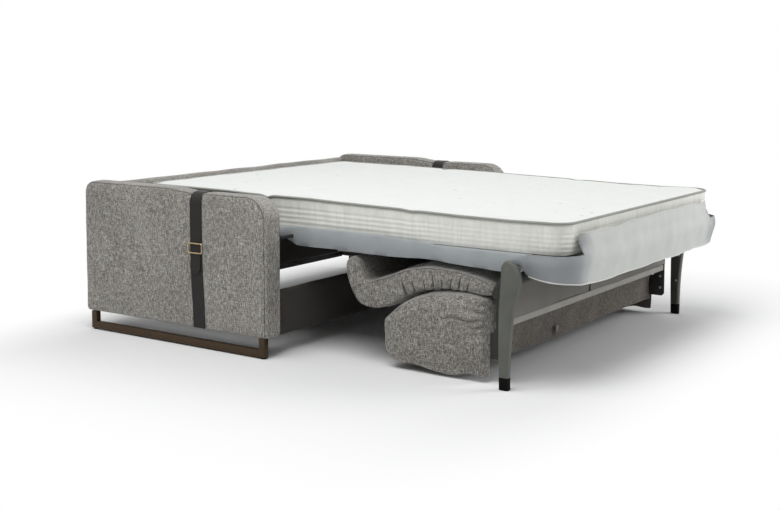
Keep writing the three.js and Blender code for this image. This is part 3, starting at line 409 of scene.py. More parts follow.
    @staticmethod
    def eased(node: str, name: str, radius: float, angle: float = 35.0, segments: int = 2) -> Piece:
        """A copy of a rigid solid with its edges eased.

        Args:
            node: the solid's node.
            name: name of the copy.
            radius: width of the eased edge.
            angle: edges sharper than this many degrees are eased.
            segments: faces across the eased edge.

        Returns:
            The copy, which isn't yet on a body.
        """
        made = Maker.copy_node(node, name)
        ease = made.modifiers.new("ease", "BEVEL")
        ease.width, ease.segments, ease.limit_method = radius, segments, "ANGLE"
        ease.angle_limit, ease.use_clamp_overlap, ease.harden_normals = math.radians(angle), True, False
        return Maker.sharpen(Maker.soften(Maker.bake(made)), 40)


def dress(made: Piece, finish: "Finish", body: str = "",
          stands_for: Sequence[str] = ()) -> Piece:
    """Gives a piece its finish, its body and the solids that it stands for.

    Args:
        made: the piece.
        finish: its finish.
        body: the body it rides on, if it isn't on one yet.
        stands_for: nodes that it replaces.

    Returns:
        The piece.
    """
    made.data.materials.clear()
    made.data.materials.append(finish.material())
    if body:
        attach(made, body)
    if stands_for:
        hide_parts(*stands_for)
    LOG.info("%s: %d faces", made.name, len(made.data.polygons))
    return made


def lined(made: Piece, finish: "Finish", hidden: Callable[[Vector, Vector], bool]) -> None:
    """Gives a second finish to faces that are chosen by their middle and normal."""
    made.data.materials.append(finish.material())
    for polygon in made.data.polygons:
        if hidden(polygon.center, polygon.normal):
            polygon.material_index = 1


def fitted(node: str, name: str, radius: float, finish: "Finish", body: str, **ease: float) -> None:
    """Puts a dressed copy of a rigid solid in its place, with eased edges.

    Args:
        node: the solid's node.
        name: name of the piece.
        radius: width of the eased edge.
        finish: its finish.
        body: the body it rides on.
        ease: angle or segments of the eased edge.
    """
    dress(Maker.eased(node, name, radius, **ease), finish, body, [node])


# Shader helpers


def add_node(tree: Tree, kind: str, settings: Optional[dict] = None,
             sockets: Optional[dict] = None) -> Node:
    """Adds a node to a tree.

    Args:
        tree: the tree.
        kind: node type.
        settings: its properties, set first; "stops" holds a ramp's (place, colour) pairs.
        sockets: values, terms or sockets for its inputs.

    Returns:
        The node.
    """
    made = tree.nodes.new(kind)
    for key, value in (settings or {}).items():
        if key == "stops":
            ramp = made.color_ramp
            while len(ramp.elements) < len(value):
                ramp.elements.new(0.5)
            for element, (place, colour) in zip(ramp.elements, value):
                element.position = place
                element.color = (*colour, 1)
        else:
            setattr(made, key, value)
    for key, value in (sockets or {}).items():
        value = value.value if isinstance(value, Term) else value
        if isinstance(value, Socket):
            tree.links.new(value, made.inputs[key])
        else:
            made.inputs[key].default_value = value
    return made


class Term:
    """A socket or number in a shader expression; operators add Math nodes."""

    def __init__(self, tree: Tree, value: Union[Socket, float]) -> None:
        """Wraps a socket or a number."""
        self.tree, self.value = tree, value

    def _with(self, operation: str, *others: Union["Term", float]) -> "Term":
        """A Math node of this term and the others."""
        inputs = dict(enumerate((self, *others)))
        node = add_node(self.tree, "ShaderNodeMath", {"operation": operation}, inputs)
        return Term(self.tree, node.outputs[0])

    def __add__(self, other: Union["Term", float]) -> "Term":
        """Sum."""
        return self._with("ADD", other)

    __radd__ = __add__

    def __sub__(self, other: Union["Term", float]) -> "Term":
        """Difference."""
        return self._with("SUBTRACT", other)

    def __rsub__(self, other: float) -> "Term":
        """A number less this term."""
        return Term(self.tree, other)._with("SUBTRACT", self)

    def __mul__(self, other: Union["Term", float]) -> "Term":
        """Product."""
        return self._with("MULTIPLY", other)

    __rmul__ = __mul__

    def __truediv__(self, other: Union["Term", float]) -> "Term":
        """Quotient."""
        return self._with("DIVIDE", other)

    def __pow__(self, other: float) -> "Term":
        """Power."""
        return self._with("POWER", other)

    def sine(self) -> "Term":
        """Sine, in radians."""
        return self._with("SINE")

    def size(self) -> "Term":
        """Absolute value."""
        return self._with("ABSOLUTE")

    def least(self, other: Union["Term", float]) -> "Term":
        """The smaller of the two."""
        return self._with("MINIMUM", other)

    def most(self, other: Union["Term", float]) -> "Term":
        """The larger of the two."""
        return self._with("MAXIMUM", other)


class Shader:
    """One material's node tree, and the calls that add nodes to it."""

    def __init__(self, name: str) -> None:
        """Makes an empty material with its output."""
        self.made = bpy.data.materials.new(name)
        self.made.use_nodes = True
        self.tree = self.made.node_tree
        self.tree.nodes.clear()
        self.output = self.tree.nodes.new("ShaderNodeOutputMaterial")

    def node(self, kind: str, settings: Optional[dict] = None,
             sockets: Optional[dict] = None) -> Node:
        """Adds a node with its settings, then its sockets."""
        return add_node(self.tree, kind, settings, sockets)

    def place(self) -> Socket:
        """The point on the object, in metres."""
        return self.node("ShaderNodeTexCoord").outputs["Object"]

    def stretched(self, scale: Point) -> Socket:
        """The point on the object, multiplied by a scale along each axis."""
        made = self.node("ShaderNodeVectorMath", {"operation": "MULTIPLY"}, {0: self.place(), 1: scale})
        return made.outputs[0]

    def noise(self, scale: Union[float, Point], detail: float = 2.0, rough: float = 0.5,
              twist: float = 0.0) -> Term:
        """Noise whose grain is one over the scale, or over its own scale along each axis."""
        each = scale if isinstance(scale, tuple) else (scale, scale, scale)
        made = self.node("ShaderNodeTexNoise", {}, {
            "Vector": self.stretched(each), "Scale": 1.0, "Detail": detail,
            "Roughness": rough, "Distortion": twist})
        return Term(self.tree, made.outputs[0])

    def cells(self, place: Socket, scale: float, **more: float) -> Term:
        """Distance from the nearest of many scattered spots."""
        made = self.node("ShaderNodeTexVoronoi", {"feature": "F1"},
                         {"Vector": place, "Scale": scale, **more})
        return Term(self.tree, made.outputs["Distance"])

    def axes(self) -> tuple[Term, Term, Term]:
        """The point's x, y and z."""
        split = self.node("ShaderNodeSeparateXYZ", {}, {0: self.place()})
        return tuple(Term(self.tree, split.outputs[k]) for k in range(3))

    def ramp(self, factor: Term, stops: Sequence[tuple[float, Colour]]) -> Socket:
        """Colours along a factor."""
        return self.node("ShaderNodeValToRGB", {"stops": stops}, {0: factor}).outputs[0]

    def spread(self, factor: Term, low: float, high: float, to_low: float = 0.0,
               to_high: float = 1.0) -> Term:
        """Maps low..high to to_low..to_high, held at both ends."""
        made = self.node("ShaderNodeMapRange", {"interpolation_type": "SMOOTHSTEP"}, {
            "Value": factor, "From Min": low, "From Max": high, "To Min": to_low, "To Max": to_high})
        return Term(self.tree, made.outputs[0])

    def blend(self, factor: Union[Term, float], first: object, second: object) -> Socket:
        """A mix of two colours."""
        full = [(*c, 1) if isinstance(c, tuple) else c for c in (first, second)]
        made = self.node("ShaderNodeMix", {"data_type": "RGBA"}, {0: factor, 6: full[0], 7: full[1]})
        return made.outputs[2]

    def bump(self, height: Term, distance: float, strength: float = 1.0, below: object = None) -> Socket:
        """A normal that follows a height."""
        sockets = {"Height": height, "Distance": distance, "Strength": strength}
        if below is not None:
            sockets["Normal"] = below
        return self.node("ShaderNodeBump", {}, sockets).outputs[0]

    def finish(self, **sockets: object) -> Material:
        """Closes the tree with a Principled shader.

        Args:
            sockets: inputs of the shader, with _ for a space in their names.

        Returns:
            The material.
        """
        named = {key.replace("_", " "): value for key, value in sockets.items()}
        shader = self.node("ShaderNodeBsdfPrincipled", {}, named)
        self.tree.links.new(shader.outputs[0], self.output.inputs[0])
        return self.made


MADE: dict[str, Material] = {}


@dataclass(frozen=True)
class Finish:
    """A finish: the slot that it belongs to and its material."""

    name: str
    slot: str

    def material(self) -> Material:
        """The finish's material, made once."""
        if self.name not in MADE:
            MADE[self.name] = self.build(Shader(self.name))
        return MADE[self.name]

    def build(self, shader: Shader) -> Material:
        """Builds the material's nodes."""
        return shader.finish()


@dataclass(frozen=True)
class HeatherWeave(Finish):
    """Coarse woven upholstery of mixed grey yarns, with slubs both ways."""

    dark: Colour = srgb(84, 81, 76)
    middle: Colour = srgb(138, 135, 129)
    pale: Colour = srgb(200, 197, 189)
    yarn: float = 0.0024
    slub: float = 0.017
    relief: float = 0.0009

    def build(self, shader: Shader) -> Material:
        """Slubs along each axis, yarn grain, and a slow drift of tone."""
        fine, long = 1 / self.yarn, 1 / self.slub
        upright = shader.noise((fine, fine, long), 2, 0.6)
        lengthwise = shader.noise((fine, long, fine), 2, 0.6)
        crosswise = shader.noise((long, fine, fine), 2, 0.6)
        grain = shader.noise(fine * 1.7, 2, 0.7)
        drift = shader.noise(5.0, 2)
        warp = shader.spread(upright, 0.36, 0.66)
        weft = shader.spread(lengthwise, 0.36, 0.66) * 0.6 + shader.spread(crosswise, 0.36, 0.66) * 0.4
        tone = warp * 0.36 + weft * 0.42 + grain * 0.5 + (drift - 0.5) * 0.2 - 0.13
        colour = shader.ramp(tone, [(0.14, self.dark), (0.47, self.middle), (0.84, self.pale)])
        relief = shader.bump(warp * 0.5 + weft * 0.5 + grain * 0.6, self.relief, 0.8)
        return shader.finish(Base_Color=colour, Roughness=0.94, Normal=relief,
                             Sheen_Weight=0.75, Sheen_Roughness=0.3, Specular_IOR_Level=0.15)


@dataclass(frozen=True)
class SmoothCloth(Finish):
    """Plain fine cloth with a soft weave and faint creases, its tone partly random and partly painted shade along the
    creases.
    """

    colour: Colour = srgb(108, 99, 91)
    thread: float = 0.0011
    # Depth of the tone swing: random tone and painted shade along the creases.
    crease: float = 0.06
    roughness: float = 0.9
    # Darker colour towards the sides, over this span of |x|: painted shade round the corners and sides.
    side_colour: Optional[Colour] = None
    side_from: tuple[float, float] = (0.52, 0.64)
    contrast: float = 2.2

    def tones(self, shader: Shader, tone: Term, colour: Colour, most: float) -> Socket:
        """A colour that gets darker and paler with the tone, the paler by a share of the contrast."""
        reach = self.contrast * self.crease
        return shader.ramp(tone, [(0.3, scaled(colour, 1 - reach)), (0.7, scaled(colour, 1 + reach * most))])

    def build(self, shader: Shader) -> Material:
        """Thread grain over slow changes of tone, with painted shade towards the sides if a shaded side colour is
        given.
        """
        threads = shader.noise(1 / self.thread, 1)
        marks = shader.noise(26.0, 3, 0.6, 0.6)
        drift = shader.noise(4.0, 2)
        # Partly random drift, partly painted shade and light following the faint creases.
        tone = drift * 0.5 + threads * 0.3 + marks * 0.2
        colour = self.tones(shader, tone, self.colour, 1.0)
        if self.side_colour is not None:
            # Painted shade: the sides blend into the darker colour.
            near = shader.spread(shader.axes()[0].size() + (marks - 0.5) * 0.06, *self.side_from)
            colour = shader.blend(near, colour, self.tones(shader, tone, self.side_colour, 0.0))
        relief = shader.bump(marks * 0.6 + threads * 0.4, 0.0012, 0.35)
        return shader.finish(Base_Color=colour, Roughness=self.roughness, Normal=relief,
                             Sheen_Weight=0.15, Specular_IOR_Level=0.25)


@dataclass(frozen=True)
class Leather(Finish):
    """Smooth belt leather with a fine grain and burnished, slightly worn tone."""

    colour: Colour = srgb(36, 34, 33)

    def build(self, shader: Shader) -> Material:
        """Pebbled grain with a little polish on its crests."""
        pebble = shader.cells(shader.place(), 900.0)
        rub = shader.noise(14.0, 3, 0.6)
        pale = scaled(self.colour, 1.55)
        colour = shader.ramp(rub * 0.7 + pebble * 0.4, [(0.3, self.colour), (0.85, pale)])
        return shader.finish(Base_Color=colour, Roughness=shader.spread(rub, 0.3, 0.7, 0.5, 0.66),
                             Normal=shader.bump(pebble, 0.00025, 0.5), Specular_IOR_Level=0.2)


@dataclass(frozen=True)
class Metal(Finish):
    """Painted or plated metal with a faint unevenness."""

    colour: Colour = srgb(120, 120, 118)
    metallic: float = 0.0
    roughness: float = 0.4
    coat: float = 0.0
    grain: float = 0.0002

    def build(self, shader: Shader) -> Material:
        """Slow drift of tone and roughness, with a fine orange-peel relief."""
        drift = shader.noise(9.0, 3, 0.55)
        peel = shader.noise(620.0, 1)
        colour = shader.ramp(drift, [(0.3, scaled(self.colour, 0.86)), (0.7, scaled(self.colour, 1.12))])
        rough = shader.spread(drift, 0.25, 0.75, self.roughness - 0.06, self.roughness + 0.07)
        return shader.finish(Base_Color=colour, Metallic=self.metallic, Roughness=rough,
                             Normal=shader.bump(peel, self.grain, 0.4), Coat_Weight=self.coat)


@dataclass(frozen=True)
class Moulded(Finish):
    """Moulded plastic with a fine spark-eroded grain."""

    colour: Colour = srgb(9, 9, 8)
    roughness: float = 0.55

    def build(self, shader: Shader) -> Material:
        """Fine grain under scuffs."""
        grain = shader.noise(1400.0, 1)
        scuff = shader.noise((40.0, 40.0, 160.0), 3, 0.6)
        pale = tuple(c * 1.6 + 0.002 for c in self.colour)
        colour = shader.ramp(scuff, [(0.55, self.colour), (0.8, pale)])
        rough = shader.spread(scuff, 0.3, 0.8, self.roughness, self.roughness + 0.2)
        return shader.finish(Base_Color=colour, Roughness=rough, Normal=shader.bump(grain, 0.0001, 0.5),
                             Specular_IOR_Level=0.08)


@dataclass(frozen=True)
class QuiltedKnit(Finish):
    """White stretch knit, quilted with a small scattered stitch."""

    colour: Colour = srgb(219, 221, 218)
    shade: Colour = srgb(176, 179, 176)
    tuft: float = 0.085

    def build(self, shader: Shader) -> Material:
        """Tufts as shallow dimples, a fine knit, and faint pulls between them, with painted shade in the dimples and
        the pulls' hollows.
        """
        near = shader.cells(shader.stretched((1 / self.tuft, 1 / self.tuft, 0.0)), 1.0, Randomness=0.55)
        knit = shader.noise(900.0, 1)
        pulls = shader.noise((30.0, 30.0, 10.0), 3, 0.6, 1.2)
        dimple = shader.spread(near, 0.0, 0.16)
        # Painted shade: darker at each tuft's dimple and in the hollows of the pulls.
        shaded = shader.spread(near, 0.03, 0.12, 1.0, 0.0) * 0.9 + (0.5 - pulls) * 0.35
        colour = shader.blend(shaded, self.colour, self.shade)
        height = dimple * 1.2 + pulls * 0.6 + knit * 0.06
        return shader.finish(Base_Color=colour, Roughness=0.85, Normal=shader.bump(height, 0.0022, 0.5),
                             Sheen_Weight=0.2, Specular_IOR_Level=0.2)


@dataclass(frozen=True)
class BorderKnit(Finish):
    """The mattress border: the same knit, quilted in level ribs."""

    colour: Colour = srgb(232, 232, 225)

    def build(self, shader: Shader) -> Material:
        """Fine knit with faint upright puckers, with painted shade in their hollows."""
        knit = shader.noise(1000.0, 1)
        pucker = shader.noise((60.0, 60.0, 8.0), 3, 0.6, 0.4)
        # Painted shade: darker where the puckers dip.
        stops = [(0.35, scaled(self.colour, 0.9)), (0.6, self.colour)]
        colour = shader.ramp(pucker * 0.8 + knit * 0.2, stops)
        relief = shader.bump(pucker + knit * 0.1, 0.002, 0.4)
        return shader.finish(Base_Color=colour, Roughness=0.85, Normal=relief,
                             Sheen_Weight=0.15, Specular_IOR_Level=0.2)


WEAVE = HeatherWeave("heather_weave", "fabric")
# The same heather weave made darker: painted shade for the seat and backrest under the bed.
SHADED_WEAVE = HeatherWeave("heather_underside", "fabric",
                           dark=srgb(76, 73, 69), middle=srgb(127, 124, 119), pale=srgb(190, 187, 179))
END_WEAVE = HeatherWeave("end_cloth_weave", "dark_cloth",
                         dark=srgb(56, 52, 48), middle=srgb(90, 85, 79), pale=srgb(138, 132, 124))
PIPE_WEAVE = HeatherWeave("heather_welt", "fabric",
                          dark=srgb(78, 75, 71), middle=srgb(112, 109, 104), pale=srgb(160, 157, 151))
# Darker weave for the cords of the arm seams, and for cords that paint the shade down the seat's gathers.
SEAM_AND_CREASE_SHADE = HeatherWeave("heather_seam", "fabric",
                          dark=srgb(48, 46, 43), middle=srgb(74, 71, 67), pale=srgb(112, 108, 102))
LINING = SmoothCloth("brown_lining", "dark_cloth", colour=srgb(88, 83, 78))
HINGE_CLOTH = SmoothCloth("hinge_cloth", "dark_cloth", colour=srgb(120, 118, 112))
# Dark cloth of the front rail and of the linings below the bed: partly the cloth's own colour, partly painted shade
# under the bed.
RAIL_CLOTH_AND_SHADE = SmoothCloth("rail_cloth", "dark_cloth", colour=srgb(58, 53, 49))
STRAP = Leather("strap_leather", "strap_leather")
STITCH = SmoothCloth("strap_thread", "strap_leather", colour=srgb(58, 55, 52), thread=0.0004)
BRONZE = Metal("sled_bronze", "sled_bronze", colour=srgb(66, 50, 32), metallic=0.55, roughness=0.42)
BRASS = Metal("buckle_brass", "buckle_brass", colour=srgb(196, 176, 138), metallic=1.0, roughness=0.3)
LEG_PAINT = Metal("leg_paint", "leg_paint", colour=srgb(84, 86, 80), roughness=0.5, coat=0.1)
RAIL_PAINT = Metal("rail_paint", "leg_paint", colour=srgb(150, 148, 141), roughness=0.5)
STEEL = Metal("zinc_steel", "steel", colour=srgb(150, 151, 148), metallic=0.5, roughness=0.42)
LINER_STEEL = Metal("leg_liner_steel", "dark_steel", colour=srgb(52, 51, 47), metallic=0.1, roughness=0.5)
BLACK_STEEL = Metal("black_steel", "dark_steel", colour=srgb(34, 32, 30), metallic=0.1, roughness=0.5)
PLASTIC = Moulded("black_plastic", "black_plastic")
KNIT = QuiltedKnit("quilted_knit", "ticking")
BORDER = BorderKnit("border_knit", "ticking")
PIPING = SmoothCloth("mattress_piping", "ticking", colour=srgb(150, 151, 144), thread=0.0008)
# The side skirts: the bed cloth made darker than the flap, as painted shade under the mattress's edge.
SHADED_BED_CLOTH = SmoothCloth("bed_cloth", "bed_cloth", colour=srgb(152, 157, 159), thread=0.0007,
                        crease=0.04, roughness=0.7)
# The flap: lighter at the front, with painted shade round its corners and sides.
FLAP_CLOTH = SmoothCloth("bed_cloth_flap", "bed_cloth", colour=srgb(195, 197, 193), thread=0.0007,
                         crease=0.03, roughness=0.75, side_colour=srgb(150, 154, 156))
HEM = SmoothCloth("bed_cloth_hem", "bed_cloth", colour=srgb(214, 215, 210), thread=0.0007,
                  crease=0.02, roughness=0.75)
WEBBING = SmoothCloth("bed_webbing", "webbing", colour=srgb(52, 52, 52), thread=0.0015)


# Geometry Nodes


class NodeTool:
    """A Geometry Nodes tree built in code, with named number inputs."""

    def __init__(self, name: str, numbers: dict[str, float], material: Material) -> None:
        """Starts a tree.

        Args:
            name: tree name.
            numbers: inputs and their values.
            material: what the result is made of.
        """
        self.group = bpy.data.node_groups.new(name, "GeometryNodeTree")
        face = self.group.interface
        face.new_socket("Geometry", in_out="INPUT", socket_type="NodeSocketGeometry")
        self.numbers = numbers
        for key, value in numbers.items():
            made = face.new_socket(key, in_out="INPUT", socket_type="NodeSocketFloat")
            made.default_value = value
        face.new_socket("Geometry", in_out="OUTPUT", socket_type="NodeSocketGeometry")
        self.start = self.group.nodes.new("NodeGroupInput")
        self.end = self.group.nodes.new("NodeGroupOutput")
        self.material = material

    def add(self, kind: str, settings: Optional[dict] = None,
            sockets: Optional[dict] = None) -> Node:
        """Adds a node with its settings, then its sockets."""
        return add_node(self.group, kind, settings, sockets)

    def figure(self, operation: str, *values: object) -> Socket:
        """The result of a Math node."""
        made = self.add("ShaderNodeMath", {"operation": operation}, dict(enumerate(values)))
        return made.outputs[0]

    def size(self, key: str) -> Socket:
        """The socket of a named input."""
        return self.start.outputs[key]

    def close(self, geometry: Socket) -> None:
        """Ends the tree in Realize Instances and Set Material."""
        real = self.add("GeometryNodeRealizeInstances", sockets={"Geometry": geometry})
        coat = self.add("GeometryNodeSetMaterial",
                        sockets={"Geometry": real.outputs[0], "Material": self.material})
        self.group.links.new(coat.outputs[0], self.end.inputs[0])

    def run(self, source: Piece, name: str) -> Piece:
        """Applies the tree to a source object and returns the plain mesh that comes out."""
        step = source.modifiers.new("tool", "NODES")
        step.node_group = self.group
        for item in self.group.interface.items_tree:
            if item.in_out == "INPUT" and item.name in self.numbers:
                step[item.identifier] = float(self.numbers[item.name])
        mesh = Maker.result(source)
        bpy.data.objects.remove(source, do_unlink=True)
        return Maker.adopt(name, mesh)


def path_object(name: str, paths: Sequence[Array], closed: bool = False) -> Piece:
    """A mesh object of edges along one or more paths of (x, s, z) points."""
    edges, base = [], 0
    for path in paths:
        edges += [(base + i, base + i + 1) for i in range(len(path) - 1)]
        if closed:
            edges.append((base + len(path) - 1, base))
        base += len(path)
    mesh = bpy.data.meshes.new(name)
    mesh.from_pydata([tuple(p) for p in to_row(np.vstack(paths))], edges, [])
    return Maker.adopt(name, mesh)


def welt(name: str, path: Union[Array, list[Array]], radius: float, finish: Finish,
         body: str = "", closed: bool = False, sides: int = 8) -> Piece:
    """A round cord laid along a path, or one along each of several.

    Args:
        name: object name.
        path: (x, s, z) points, or a list of such paths.
        radius: of the cord.
        finish: what it is made of.
        body: the body it rides on, or an empty word where the caller dresses it.
        closed: whether the path closes.
        sides: faces round the cord.

    Returns:
        The cord as a plain mesh.
    """
    tool = NodeTool(name + "_tree", {"Radius": radius, "Sides": float(sides)}, finish.material())
    curve = tool.add("GeometryNodeMeshToCurve", sockets={"Mesh": tool.start.outputs["Geometry"]})
    ring = tool.add("GeometryNodeCurvePrimitiveCircle",
                    sockets={"Resolution": sides, "Radius": tool.size("Radius")})
    tube = tool.add("GeometryNodeCurveToMesh", sockets={
        "Curve": curve.outputs[0], "Profile Curve": ring.outputs[0], "Fill Caps": True})
    soft = tool.add("GeometryNodeSetShadeSmooth",
                    sockets={"Geometry": tube.outputs[0], "Shade Smooth": True})
    tool.close(soft.outputs[0])
    paths = path if isinstance(path, list) else [path]
    made = Maker.outward(tool.run(path_object(name + "_path", paths, closed), name), 1e-6)
    return dress(made, finish, body) if body else made


def bolts(name: str, places: Sequence[Point], radius: float, height: float, finish: Finish,
          towards: Point, body: str) -> None:
    """Domed bolt heads at (x, s, z) places, all facing one way.

    Args:
        name: object name.
        places: centres of their seats.
        radius: of a head.
        height: of a head.
        finish: what they are made of.
        towards: the way they face, in the row frame.
        body: the body they ride on.
    """
    tool = NodeTool(name + "_tree", {"Radius": radius, "Height": height}, finish.material())
    head = tool.add("GeometryNodeMeshCylinder", {"fill_type": "TRIANGLE_FAN"}, {
        "Vertices": 16, "Side Segments": 1, "Fill Segments": 3,
        "Radius": tool.size("Radius"), "Depth": tool.size("Height")})
    place = tool.add("GeometryNodeInputPosition").outputs[0]
    split = tool.add("ShaderNodeSeparateXYZ", sockets={0: place})
    across = tool.add("ShaderNodeVectorMath", {"operation": "MULTIPLY"}, {0: place, 1: (1, 1, 0)})
    far = tool.add("ShaderNodeVectorMath", {"operation": "LENGTH"}, {0: across.outputs[0]})
    bowl = tool.figure("POWER", tool.figure("DIVIDE", far.outputs["Value"], tool.size("Radius")), 2.0)
    drop = tool.figure("MULTIPLY", tool.figure("MULTIPLY", bowl, tool.size("Height")), -0.45)
    upper = tool.add("FunctionNodeCompare", {"data_type": "FLOAT", "operation": "GREATER_THAN"},
                     {0: split.outputs[2], 1: 0.0})
    shift = tool.add("ShaderNodeCombineXYZ", sockets={2: drop})
    domed = tool.add("GeometryNodeSetPosition", sockets={
        "Geometry": head.outputs[0], "Selection": upper.outputs[0], "Offset": shift.outputs[0]})
    turn = tool.add("FunctionNodeAlignRotationToVector", {"axis": "Z"}, {"Vector": towards})
    spots = tool.add("GeometryNodeMeshToPoints", sockets={"Mesh": tool.start.outputs["Geometry"]})
    placed = tool.add("GeometryNodeInstanceOnPoints", sockets={
        "Points": spots.outputs[0], "Instance": domed.outputs[0], "Rotation": turn.outputs[0]})
    tool.close(placed.outputs[0])
    mesh = bpy.data.meshes.new(name)
    mesh.from_pydata([row_point(*p) for p in places], [], [])
    made = tool.run(Maker.adopt(name + "_spots", mesh), name)
    dress(Maker.sharpen(Maker.soften(made), 45), finish, body)


def stitches(name: str, path: Array, finish: Finish, body: str, length: float = 0.0034,
             gap: float = 0.0018, radius: float = 0.0005) -> None:
    """A row of stitches laid along a path.

    Args:
        name: object name.
        path: (x, s, z) points.
        finish: what it is made of.
        body: the body they ride on.
        length: of one stitch.
        gap: between stitches.
        radius: of the thread.
    """
    sizes = {"Length": length, "Pitch": length + gap, "Radius": radius}
    tool = NodeTool(name + "_tree", sizes, finish.material())
    curve = tool.add("GeometryNodeMeshToCurve", sockets={"Mesh": tool.start.outputs["Geometry"]})
    spaced = tool.add("GeometryNodeCurveToPoints", {"mode": "LENGTH"},
                      {"Curve": curve.outputs[0], "Length": tool.size("Pitch")})
    thread = tool.add("GeometryNodeMeshUVSphere",
                      sockets={"Segments": 6, "Rings": 5, "Radius": tool.size("Radius")})
    half = tool.figure("MULTIPLY", tool.figure("DIVIDE", tool.size("Length"), tool.size("Radius")), 0.5)
    scale = tool.add("ShaderNodeCombineXYZ", sockets={0: 1.0, 1: 1.0, 2: half})
    turn = tool.add("FunctionNodeAlignRotationToVector", {"axis": "Z"},
                    {"Vector": spaced.outputs["Tangent"]})
    placed = tool.add("GeometryNodeInstanceOnPoints", sockets={
        "Points": spaced.outputs["Points"], "Instance": thread.outputs[0],
        "Rotation": turn.outputs[0], "Scale": scale.outputs[0]})
    tool.close(placed.outputs[0])
    made = tool.run(path_object(name + "_path", [path]), name)
    dress(Maker.soften(made), finish, body)


# Cloth simulation


@dataclass
class Swelling:
    """Pads that are blown up together by one run of Blender's cloth."""

    frames: int = 20
    waiting: list[tuple[Piece, float]] = field(default_factory=list)

    def add(self, pad: Piece, pressure: float, cap: float) -> None:
        """Queues a pad.

        Args:
            pad: closed mesh.
            pressure: of the air inside.
            cap: the farthest that a point may move.
        """
        cloth = pad.modifiers.new("swell", "CLOTH")
        settings = cloth.settings
        settings.quality, settings.mass = 5, 0.3
        settings.use_pressure, settings.uniform_pressure_force = True, pressure
        settings.effector_weights.gravity = 0
        settings.tension_stiffness = settings.compression_stiffness = 30
        settings.bending_stiffness = 3
        cloth.collision_settings.use_collision = False
        cloth.point_cache.frame_start, cloth.point_cache.frame_end = 1, self.frames
        self.waiting.append((pad, cap))

    def run(self) -> None:
        """Steps the frames, then keeps each pad's new shape as plain mesh."""
        if not self.waiting:
            return
        scene = bpy.context.scene
        for number in range(1, self.frames + 1):
            scene.frame_set(number)
        graph = bpy.context.evaluated_depsgraph_get()
        for pad, cap in self.waiting:
            rest = Maker.points(pad)
            moved = to_row(read(pad.evaluated_get(graph).to_mesh().vertices, "co")) - rest
            pad.evaluated_get(graph).to_mesh_clear()
            far = np.linalg.norm(moved, axis=1, keepdims=True)
            moved *= cap * np.tanh(far / cap) / np.maximum(far, TINY)
            pad.modifiers.clear()
            Maker.place(pad, rest + moved)
            most = float(np.linalg.norm(moved, axis=1).max())
            LOG.info("%s swelled by up to %.1f mm", pad.name, 1000 * most)
        scene.frame_set(1)
        self.waiting.clear()


class Side(Enum):
    """The two sides of the sofa, seen from its front."""

    LEFT = -1
    RIGHT = 1

    @property
    def word(self) -> str:
        """The word used in node names."""
        return self.name.lower()


# Sub-assemblies


@dataclass(frozen=True)
class ArmShape:
    """An arm's outline seen from the side, as (s, z)."""

    rear: float = 0.0
    front: float = 0.98
    low: float = 0.0775
    rear_top: float = 0.616
    front_top: float = 0.605
    dip: tuple[float, float] = (0.455, 0.599)
    rear_radius: float = 0.048
    front_radius: float = 0.09
    edge: float = 0.022

    def top(self, s: Array) -> Array:
        """Height of the top at s."""
        return self.rear_top + (self.front_top - self.rear_top) * smooth(s, *self.dip)

    def depth(self, s: Array, z: Array) -> tuple[Array, Array, Array]:
        """How far points lie inside the outline, and the way out from each as (s, z)."""
        gaps = np.stack([self.top(s) - z, self.front - s, s - self.rear, z - self.low])
        ways = np.array([(0, 1), (1, 0), (-1, 0), (0, -1)], float)
        first = np.argmin(gaps, axis=0)
        inside, out_s, out_z = gaps.min(axis=0), ways[first, 0], ways[first, 1]
        corners = ((self.front - self.front_radius, self.front_top, 1, self.front_radius),
                   (self.rear + self.rear_radius, self.rear_top, -1, self.rear_radius))
        for centre_s, top, way, radius in corners:
            ds, dz = s - centre_s, z - (top - radius)
            there = (ds * way > 0) & (dz > 0)
            far = np.maximum(np.hypot(ds, dz), TINY)
            inside = np.where(there, radius - far, inside)
            out_s, out_z = np.where(there, ds / far, out_s), np.where(there, dz / far, out_z)
        return inside, out_s, out_z

    def seam(self, inset: float, front_inset: float) -> Array:
        """The line where a face meets the strip round it.

        Args:
            inset: how far inside the outline it runs along the top.
            front_inset: the same down the front.

        Returns:
            Rows of s, z and how far the line lies inside the face.
        """
        r, q = self.front_radius, self.rear_radius
        foot = self.low + 0.002
        ss = np.linspace(self.front - r, self.rear + q, 200)
        rows = [(self.front, z, 1, 0) for z in np.linspace(foot, self.front_top - r, 60)]
        rows += [(self.front - r + r * math.cos(a), self.front_top - r + r * math.sin(a),
                  math.cos(a), math.sin(a)) for a in np.linspace(0, math.pi / 2, 30)]
        rows += [(s, z, 0, 1) for s, z in zip(ss, self.top(ss))]
        rows += [(self.rear + q + q * math.cos(a), self.rear_top - q + q * math.sin(a),
                  math.cos(a), math.sin(a)) for a in np.linspace(math.pi / 2, math.pi, 20)]
        rows += [(self.rear, z, -1, 0) for z in np.linspace(self.rear_top - q, foot, 60)]
        line = np.array(rows)
        inside = (inset + (front_inset - inset) * np.maximum(line[:, 2], 0))[:, None]
        depth = self.edge - np.sqrt(self.edge**2 - (self.edge - inside) ** 2)
        return even(np.hstack([line[:, :2] - line[:, 2:] * inside, depth]), 640)


